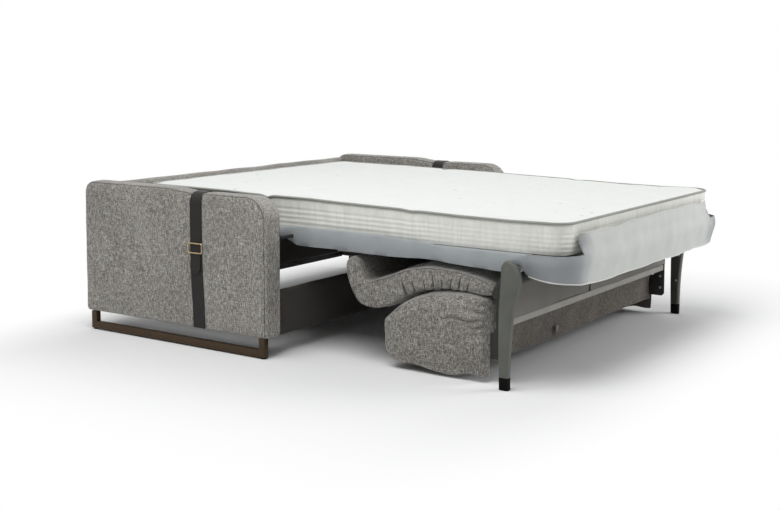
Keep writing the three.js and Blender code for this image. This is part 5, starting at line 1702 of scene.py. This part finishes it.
@dataclass
class Seat:
    """The two seat cushions and the hinge plate that holds them."""

    rear: float = 1.839
    inner: float = 0.004
    outer: float = 0.715
    # Matching points of the lower and upper faces, bed open, from the apron's edge to the rear
    pairs: tuple[tuple[tuple[float, float], tuple[float, float]], ...] = (
        ((1.2215, 0.390), (1.2430, 0.3905)), ((1.2025, 0.362), (1.2600, 0.366)), ((1.2020, 0.335), (1.2700, 0.342)),
        ((1.2090, 0.302), (1.2780, 0.322)), ((1.2260, 0.262), (1.2850, 0.309)), ((1.2470, 0.226), (1.2960, 0.304)),
        ((1.2790, 0.204), (1.3180, 0.307)), ((1.3230, 0.2005), (1.3500, 0.320)), ((1.3720, 0.212), (1.3860, 0.333)),
        ((1.4150, 0.232), (1.4200, 0.346)), ((1.4560, 0.258), (1.4560, 0.361)), ((1.4980, 0.279), (1.4980, 0.374)),
        ((1.5450, 0.294), (1.5440, 0.382)), ((1.5960, 0.303), (1.5940, 0.3845)), ((1.6480, 0.3065), (1.6460, 0.3835)),
        ((1.7000, 0.3068), (1.6990, 0.3785)), ((1.7480, 0.3055), (1.7500, 0.3700)), ((1.7920, 0.3035), (1.7950, 0.3575)),
        ((1.8230, 0.3035), (1.8280, 0.3440)), ((1.8370, 0.3120), (1.8390, 0.3300)))

    gathers: tuple[float, ...] = (1.473, 1.509, 1.552, 1.587, 1.621, 1.656, 1.690, 1.724)
    # Seams on the outer end, as (s, z) lines and the radius of the ridge
    seams: dict[str, tuple[Outline, float]] = field(default_factory=lambda: {
        "top": (((1.297, 0.303), (1.357, 0.318), (1.430, 0.347), (1.530, 0.373), (1.621, 0.384),
                 (1.724, 0.371), (1.790, 0.357), (1.829, 0.344)), 0.0019),
        "second": (((1.534, 0.360), (1.621, 0.369), (1.724, 0.357), (1.800, 0.335), (1.832, 0.322)), 0.0011),
        "lower": (((1.229, 0.282), (1.259, 0.223), (1.289, 0.206), (1.357, 0.209), (1.423, 0.234),
                   (1.481, 0.268), (1.552, 0.2985), (1.621, 0.309), (1.724, 0.309), (1.790, 0.304),
                   (1.829, 0.309)), 0.0017)})
    fold_depth: float = 0.0085
    fan: float = 0.22
    fan_centre: float = 1.60
    # Radius of the dark cords that paint the gathers' shade
    gather_radius: float = 0.0019

    def build(self, swelling: Swelling) -> None:
        """Makes the cushions before they are swelled."""
        self.pads = [self.cushion(side, swelling) for side in Side]

    def cushion(self, side: Side, swelling: Swelling) -> Piece:
        """One wavy cushion, with each point's height in the edge and on the ends as attributes."""
        stations, across, tall = 150, 40, 13
        both = spline([(*a, *b) for a, b in self.pairs], stations)
        low, high = both[:, :2], both[:, 2:]
        x0, x1 = (self.inner, self.outer) if side is Side.RIGHT else (-self.outer, -self.inner)
        xs = np.linspace(x0, x1, across)
        rises = np.linspace(-1, 1, tall + 2)[1:-1]
        dome = 0.94 + 0.06 * smooth(np.minimum(xs - x0, x1 - xs), 0, 0.03)
        rings = []
        for k in range(stations):
            t = k / (stations - 1)
            mid, half = (low[k] + high[k]) / 2, (high[k] - low[k]) / 2
            to_end = min(t, 1 - t)
            close = min(1.0, math.sin(math.pi * to_end / 0.06) ** 0.6) if to_end < 0.03 else 1.0
            ring = [(x, *(mid - half * d * close)) for x, d in zip(xs, dome)]
            ring += [(x1 + 0.004 * (1 - v * v) - 0.001, *(mid + half * v * 0.94 * close)) for v in rises]
            ring += [(x, *(mid + half * d * close)) for x, d in zip(xs[::-1], dome[::-1])]
            ring += [(x0 - 0.004 * (1 - v * v) + 0.001, *(mid + half * v * 0.94 * close)) for v in rises[::-1]]
            rings.append(ring)
        made = Maker.loft(f"seat_pad_{side.word}", np.array(rings))
        rise = np.concatenate([np.full(across, -1.0), rises, np.full(across, 1.0), rises[::-1]])
        end = np.zeros(len(rise))
        first = across if side is Side.RIGHT else 2 * across + tall
        end[first:first + tall] = 1
        for key, ring_values in (("rise", rise), ("end", end)):
            values = np.concatenate([np.tile(ring_values, stations), [0.0, 0.0]])
            made.data.attributes.new(key, "FLOAT", "POINT").data.foreach_set("value", values)
        swelling.add(made, 2.5, 0.0035)
        return made

    def finish(self) -> None:
        """Gathers, seams and material, once the cushions have their shape."""
        for side, made in zip(Side, self.pads):
            step = made.modifiers.new("finer", "SUBSURF")
            step.levels = step.render_levels = 1
            Maker.bake(made)
            creases = self.creases(made, side)
            p, n = Maker.points(made), Maker.normals(made)
            rise, end = (read(made.data.attributes[key].data, "value", 1)[:, 0] for key in ("rise", "end"))
            edge = self.outer - np.abs(p[:, 0])
            up = (rise + 1) / 2
            on_end = smooth(end, 0.0, 0.6)
            under = (rise < -0.9) * (1 - smooth(edge, 0.0, 0.09))
            reach = np.maximum(on_end * (1 - smooth(up, 0.15, 0.78)), under)
            fold = np.zeros(len(p))
            for k, s in enumerate(self.gathers):
                line = s + (s - self.fan_centre) * self.fan * up * on_end + 0.004 * math.sin(k * 5.1) * up
                deep = 0.7 + 0.3 * math.sin(k * 2.3 + 1)
                over = p[:, 1] - line
                fold += deep * np.exp(-(over / 0.0038) ** 2)
                fold -= 0.28 * deep * np.exp(-((over - 0.012) / 0.009) ** 2)
            zone = smooth(p[:, 1], 1.42, 1.46) * (1 - smooth(p[:, 1], 1.72, 1.76))
            pinched = 0.006 * np.exp(-((up - 0.02) / 0.06) ** 2) * on_end * zone
            uneven = ripple(p[:, 0], p[:, 1], 0.13, 71 + side.value) * 0.0013
            uneven += ripple(p[:, 1], p[:, 2], 0.05, 73) * 0.0006
            p += n * (uneven - self.fold_depth * fold * reach * zone - pinched * 0.4)[:, None]
            p[:, 0] = side.value * np.maximum(p[:, 0] * side.value, 0.0012)
            Maker.place(made, p)
            # Darker weave: painted shade, as the cushions lie under the bed.
            dress(made, SHADED_WEAVE, "seat", [f"seat_cushion_{side.word}"])
            for label, (line, radius) in self.seams.items():
                flat = spline(line, 130)
                path = np.column_stack([np.full(len(flat), side.value * (self.outer + 0.004)), flat])
                welt(f"seat_seam_{label}_{side.word}", Maker.laid(made, path, 0.0), radius,
                     PIPE_WEAVE, "seat", sides=6)
            # Dark cords in the gathers: painted shade.
            welt(f"seat_gathers_{side.word}", creases, self.gather_radius, SEAM_AND_CREASE_SHADE, "seat", sides=6)
            self.rear_cloth(side)
        fitted("seat_hinge_plate", "seat_hinge_leaf", 0.0008, BLACK_STEEL, "seat", segments=1)

    def creases(self, made: Piece, side: Side) -> list[Array]:
        """Lines down the middle of each gather, just under the surface, fanning out upwards, for the dark cords that
        paint the gathers' shade.
        """
        lines = []
        for k, s in enumerate(self.gathers):
            z = np.linspace(-0.004, 0.040 + 0.012 * math.sin(k * 2.3 + 1), 12)
            base = float(np.interp(s, *zip(*self.seams["lower"][0])))
            lean = ((s - self.fan_centre) * self.fan + 0.004 * math.sin(k * 5.1)) * z / 0.078
            path = np.column_stack([np.full(len(z), side.value * (self.outer + 0.002)), s + lean, base + z])
            lines.append(Maker.laid(made, path, -0.0012))
        return lines

    def rear_cloth(self, side: Side) -> None:
        """The cloth that hangs over one half of the hinge."""
        x0, x1 = (-0.062, 0.690) if side is Side.RIGHT else (-0.690, -0.074)
        xs = np.linspace(x0, x1, 70)
        rows = []
        for v in np.linspace(0, 1, 24):
            turn = smooth(v, 0, 0.3)
            uneven = ripple(xs, xs * 0 + v * 0.12, 0.16, 75 + side.value) * 0.0022 * v
            s = 1.846 + 0.0405 * turn + uneven + 0.003 * math.sin(math.pi * v)
            z = 0.3575 - 0.020 * v**2 - (0.1115 + 0.003 * np.sin(xs * 8)) * smooth(v, 0.05, 1.1)
            rows.append(np.column_stack([xs, s, z]))
        made = Maker.sheet(f"seat_rear_cloth_{side.word}", np.array(rows), 0.0014, "seat", "hung",
                           [f"seat_cushion_{side.word}"])
        dress(made, HINGE_CLOTH)
        welt(f"seat_rear_hem_{side.word}", rows[-1], 0.0018, HINGE_CLOTH, "seat", sides=6)


@dataclass
class Backrest:
    """The hollow backrest, slung under the seat while the bed is open."""

    half: float = 0.742
    near: float = 1.824
    far: float = 1.388
    hollow_half: float = 0.71
    hollow_top: float = 0.21
    outline: Outline = (
        (1.8225, 0.028), (1.8150, 0.0205), (1.7410, 0.0225), (1.6890, 0.0095), (1.6400, 0.0080),
        (1.5360, 0.0205), (1.4381, 0.0300), (1.4010, 0.0562), (1.3885, 0.1073), (1.3882, 0.1671),
        (1.3985, 0.1861), (1.4665, 0.2387), (1.5362, 0.2737), (1.6060, 0.2924), (1.6758, 0.2994),
        (1.7630, 0.2985), (1.8040, 0.2935), (1.8225, 0.2796), (1.8238, 0.1832), (1.8236, 0.0956))
    # Folds on the ends: height at the open edge, slope, depth and where each begins
    wrinkles: tuple[tuple[float, float, float, float], ...] = (
        (0.2700, -0.10, 0.0055, 1.66), (0.2480, -0.05, 0.0075, 1.70), (0.2150, 0.00, 0.0095, 1.62),
        (0.1960, 0.06, 0.0070, 1.69), (0.1700, 0.16, 0.0050, 1.71))
    bracket_inner: float = 0.7037
    # Bolt heads on each bracket, as (s, z)
    heads: Outline = (
        (1.72, 0.105), (1.72, 0.146), (1.79, 0.105), (1.79, 0.146),
        (1.86, 0.12), (1.86, 0.17), (1.86, 0.262))

    def build(self, swelling: Swelling) -> None:
        """Makes the closed outer form before it is swelled."""
        outline = closed_spline(self.outline, 190)
        centre = outline.mean(0)
        xs = np.linspace(-1, 1, 84)
        ends = [(self.half - 0.001 - 0.004 * k**3, k * 0.985) for k in np.linspace(0.04, 1, 26)]
        ends += [(self.half - 0.0085, 0.9925), (self.half - 0.0130, 0.9975)]
        rings = [(-x, k) for x, k in ends]
        rings += [(x * (self.half - 0.019), 1.0) for x in xs]
        rings += [(x, k) for x, k in reversed(ends)]
        loft = np.array([[(x, *(centre + (p - centre) * k)) for p in outline] for x, k in rings])
        open_edge = 0.017 * (1 - smooth(self.half - np.abs(loft[..., 0]), 0.003, 0.034))
        loft[..., 1] -= open_edge * smooth(loft[..., 1], 1.74, 1.815)
        self.pad = Maker.loft("backrest_pad", loft)
        swelling.add(self.pad, 2.2, 0.004)

    def finish(self) -> None:
        """Wrinkles, hollow, crossbar, brackets and cloth."""
        made = self.pad
        p, n = Maker.points(made), Maker.normals(made)
        end = smooth(np.abs(p[:, 0]), self.half - 0.03, self.half - 0.008)
        wrinkle = np.zeros(len(p))
        for z, slope, deep, start in self.wrinkles:
            line = z + slope * (p[:, 1] - 1.81) + 0.004 * np.sin(p[:, 1] * 60 + z * 90)
            over = p[:, 2] - line
            fold = 0.5 * np.exp(-((over - 0.013) / 0.010) ** 2) - np.exp(-(over / 0.0055) ** 2)
            wrinkle += deep * smooth(p[:, 1], start, start + 0.09) * fold
        wrinkle *= end
        top = smooth(n[:, 2], 0.3, 0.9)
        uneven = ripple(p[:, 0], p[:, 1], 0.15, 81) * 0.0014 * top
        uneven += ripple(p[:, 1], p[:, 2], 0.09, 83) * 0.0012 * end
        p += n * (wrinkle + uneven)[:, None]
        p[:, 2] = np.maximum(p[:, 2], 0.003)
        p[:, 0] = np.clip(p[:, 0], -self.half - 0.005, self.half + 0.005)
        Maker.place(made, p)
        self.hollow(made)
        # Darker weave: painted shade, as the backrest lies under the bed.
        dress(made, SHADED_WEAVE, "backrest", ["backrest_shell"])
        lined(made, LINING, self.in_hollow)
        fitted("backrest_crossbar", "backrest_bar", 0.003, RAIL_PAINT, "backrest", segments=3)
        for side in Side:
            way = side.value
            node = f"backrest_bracket_{side.word}"
            fitted(node, f"bracket_{side.word}", 0.0008, BLACK_STEEL, "backrest")
            seats = [(way * self.bracket_inner - way * 0.0013, s, z) for s, z in self.heads]
            bolts(f"bracket_bolts_{side.word}", seats, 0.0065, 0.003, STEEL, (-way, 0, 0), "backrest")
        self.end_cloth()

    def in_hollow(self, middle: Vector, normal: Vector) -> bool:
        """Whether a face lies inside the hollow, from its middle and normal."""
        s, z = REAR_Y - middle.y, middle.z
        if abs(middle.x) >= self.hollow_half + 0.0005 or s <= self.far + 0.055:
            return False
        if not 0.03 < z < self.hollow_top - 0.0015:
            return False
        in_mouth = z > 0.1 and s < self.near - 0.002 and abs(normal.z) > 0.9
        if s >= self.near - 0.0175 and not in_mouth:
            return False
        return abs(normal.x) > 0.9 or abs(normal.y) > 0.9 or normal.z < -0.1

    def hollow(self, made: Piece) -> None:
        """Cuts the hollow that takes the folded head of the bed."""
        past, low, wall, mouth = self.near + 0.05, -0.05, self.near - 0.018, 0.176
        profile = [(past, low), (1.449, low), (1.449, 0.147), (1.5057, 0.2037), (1.5624, self.hollow_top),
                   (wall, self.hollow_top), (wall, mouth), (past, mouth)]
        tool = Maker.prism("hollow_tool", profile, (-self.hollow_half, self.hollow_half))
        cut = made.modifiers.new("hollow", "BOOLEAN")
        cut.operation, cut.object, cut.solver = "DIFFERENCE", tool, "EXACT"
        Maker.bake(made)
        bpy.data.objects.remove(tool, do_unlink=True)
        Maker.sharpen(made, 50)

    def end_cloth(self) -> None:
        """The cloth over the open end, with a small pull tab."""
        xs = np.linspace(-0.697, 0.697, 110)
        low, top = 0.0735, 0.1745
        rows = []
        for v in np.linspace(0, 1, 16):
            sag = 0.006 * math.sin(math.pi * v) + ripple(xs, xs * 0 + v * 0.1, 0.14, 91) * 0.0022
            z = low + (top - low) * v + 0.002 * np.sin(xs * 6) * (1 - v)
            rows.append(np.column_stack([xs, self.near - 0.007 - sag, z]))
        made = Maker.sheet("end_cloth", np.array(rows), 0.0016, "backrest", "hung", ["backrest_shell"])
        dress(made, END_WEAVE, "", ["backrest_end_cloth"])
        welt("end_cloth_hem", rows[0], 0.0026, END_WEAVE, "backrest")
        self.pull_tab()

    def pull_tab(self) -> None:
        """The small pull tab at the lower edge of the cloth."""
        turn = np.radians(np.linspace(0, 360, 30, endpoint=False))
        s, x, z = self.near - 0.0045, -0.205, 0.1
        outline = [(x + 0.011 * np.sign(math.cos(a)) * abs(math.cos(a)) ** 0.5,
                    z + 0.0125 * np.sign(math.sin(a)) * abs(math.sin(a)) ** 0.6) for a in turn]
        steps = ((0.86, s - 0.0015), (1, s - 0.0008), (1, s + 0.0012), (0.86, s + 0.0018))
        rings = np.array([[(x + (u - x) * k, depth, z + (w - z) * k) for u, w in outline]
                          for k, depth in steps])
        dress(Maker.loft("end_cloth_tab", rings), HINGE_CLOTH, "backrest")
        # A black cord along the slit: painted shade inside the opening.
        line = [(x - 0.018, s - 0.001, z - 0.028), (x - 0.0175, s, z - 0.012),
                (x - 0.014, s + 0.0005, z + 0.006), (x - 0.004, s, z + 0.0145)]
        welt("end_cloth_slit", spline(line, 24), 0.0016, BLACK_STEEL, "backrest", sides=6)


@dataclass
class Legs:
    """The two folding legs, the hangers and the hinge rod."""

    liner_x: float = 0.7509
    # The dark strip on a leg's inner face, and the bolts on it, as (s, z)
    strip: Outline = (
        (1.893, 0.046), (1.919, 0.046), (1.922, 0.15), (1.930, 0.249), (1.940, 0.311), (1.949, 0.352),
        (1.944, 0.37), (1.898, 0.37), (1.893, 0.30), (1.891, 0.2))
    heads: Outline = (
        (1.906, 0.345), (1.93, 0.345), (1.905, 0.262), (1.926, 0.262), (1.915, 0.15))

    def build(self) -> None:
        """Makes both legs and what hangs from their bolts."""
        for side in Side:
            word, body = side.word, f"leg_{side.word}"
            leg = Maker.eased(body, f"leg_body_{word}", 0.0016, angle=40)
            dress(Maker.sharpen(leg, 60), LEG_PAINT, body, [body])
            fitted(f"leg_tip_{word}", f"leg_foot_{word}", 0.001, PLASTIC, body, angle=40)
            self.liner(side)
            fitted(f"leg_bolt_{word}", f"leg_pivot_{word}", 0.0008, STEEL, "foot")
            fitted(f"hanger_{word}", f"hanger_bar_{word}", 0.0012, BLACK_STEEL, "hanger")
            for node in (f"front_swing_{word}", f"rear_swing_{word}"):
                fitted(node, f"{node}_arm", 0.0012, BLACK_STEEL, node)
        fitted("hinge_rod", "hinge_rod_bar", 0.0008, BLACK_STEEL, "hanger")

    def liner(self, side: Side) -> None:
        """The dark steel strip on the inner face of a leg, with its bolts."""
        way, body = side.value, f"leg_{side.word}"
        inner = way * self.liner_x
        ends = (inner - way * 0.0002, inner - way * 0.0022)
        made = Maker.prism(f"leg_liner_{side.word}", self.strip, ends)
        dress(made, LINER_STEEL, body)
        seats = [(inner - way * 0.0028, s, z) for s, z in self.heads]
        bolts(f"leg_bolts_{side.word}", seats, 0.0055, 0.0026, STEEL, (-way, 0, 0), body)


@dataclass
class Studio:
    """Floor, light and camera."""

    focal_px: float = 1220.7
    centre_y: float = 165.0
    eye: Point = (-4.314, 3.890, 1.114)
    yaw: float = 55.355
    pitch: float = 4.938
    width: int = 780
    height: int = 510
    floor_colour: Colour = srgb(228, 228, 228)
    floor_half: float = 14.0

    def build(self) -> None:
        """Sets the scene round the sofa."""
        bpy.context.scene.view_settings.view_transform = "Standard"
        self.camera()
        self.floor()
        self.lights()

    def camera(self) -> None:
        """The camera at the photograph's angle."""
        data = bpy.data.cameras.new("camera")
        data.sensor_fit, data.sensor_width = "HORIZONTAL", 36
        data.lens = self.focal_px / self.width * 36
        data.shift_y = (self.centre_y - self.height / 2) / self.width
        data.clip_start, data.clip_end = 0.05, 100
        made = Maker.adopt("camera", data)
        made.location = row_point(*self.eye)
        yaw, pitch = math.radians(self.yaw), math.radians(self.pitch)
        level = math.cos(pitch)
        forward = Vector((math.sin(yaw) * level, math.cos(yaw) * level, -math.sin(pitch)))
        made.rotation_euler = forward.to_track_quat("-Z", "Y").to_euler()
        bpy.context.scene.camera = made

    def floor(self) -> None:
        """A pale floor that fades into the background."""
        corners = np.array([(-1, -1, 0), (1, -1, 0), (1, 1, 0), (-1, 1, 0)]) * self.floor_half
        made = Maker.from_faces("studio_floor", corners, [(0, 1, 2, 3)], soft=False)
        shader = Shader("studio_floor")
        x, y, _ = shader.axes()
        over_x, over_y = (x.size() - 0.75).most(0.0), (y.size() - 0.88).most(0.0) * 2.2
        far = (over_x * over_x + over_y * over_y) ** 0.5
        seen = Term(shader.tree, shader.node("ShaderNodeLightPath").outputs["Is Camera Ray"])
        fade = shader.spread(far, 0.2, 1.25) * seen
        plain = shader.node("ShaderNodeBsdfDiffuse", {}, {"Color": (*self.floor_colour, 1)})
        glow = shader.node("ShaderNodeEmission", {}, {"Color": (1, 1, 1, 1), "Strength": 1.0})
        mixed = shader.node("ShaderNodeMixShader", {}, {0: fade, 1: plain.outputs[0], 2: glow.outputs[0]})
        shader.tree.links.new(mixed.outputs[0], shader.output.inputs[0])
        made.data.materials.append(shader.made)

    def lights(self) -> None:
        """Soft light from above and from the left, and an even sky."""
        world = bpy.data.worlds.new("studio_sky")
        world.use_nodes = True
        bpy.context.scene.world = world
        tree = world.node_tree
        tree.nodes.clear()
        seen = add_node(tree, "ShaderNodeLightPath").outputs
        sky = add_node(tree, "ShaderNodeBackground", {}, {0: (0.97, 0.98, 1.0, 1), 1: 0.37})
        white = add_node(tree, "ShaderNodeBackground", {}, {0: (1, 1, 1, 1), 1: 1.0})
        either = add_node(tree, "ShaderNodeMath", {"operation": "MAXIMUM"},
                          {0: seen["Is Camera Ray"], 1: seen["Is Glossy Ray"]})
        mixed = add_node(tree, "ShaderNodeMixShader", {},
                         {0: either.outputs[0], 1: sky.outputs[0], 2: white.outputs[0]})
        add_node(tree, "ShaderNodeOutputWorld", {}, {0: mixed.outputs[0]})
        self.lamp("key", (-2.2, 1.2, 4.4), (0, 1.1, 0.3), 3.2, 158)
        self.lamp("fill", (3.6, -1.8, 3.4), (0, 1.0, 0.4), 4.0, 50)
        self.lamp("front", (2.4, 5.2, 2.2), (0, 1.8, 0.4), 2.4, 104)

    @staticmethod
    def lamp(name: str, place: Point, aim: Point, size: float, power: float) -> None:
        """One square soft light, in (x, s, z) places."""
        data = bpy.data.lights.new(name, "AREA")
        data.shape, data.size, data.energy = "SQUARE", size, power
        made = Maker.adopt(name, data)
        made.visible_camera = False
        made.location = row_point(*place)
        towards = Vector(row_point(*aim)) - Vector(row_point(*place))
        made.rotation_euler = towards.to_track_quat("-Z", "Y").to_euler()


def main() -> None:
    """Builds the studio and the sofa, and reports each piece."""
    logging.basicConfig(level=logging.INFO, format="%(name)s %(message)s")
    Studio().build()
    swelling = Swelling()
    seat, backrest = Seat(), Backrest()
    seat.build(swelling)
    backrest.build(swelling)
    swelling.run()
    Body().build()
    Bed().build()
    seat.finish()
    backrest.finish()
    Legs().build()


if __name__ == "__main__":
    main()
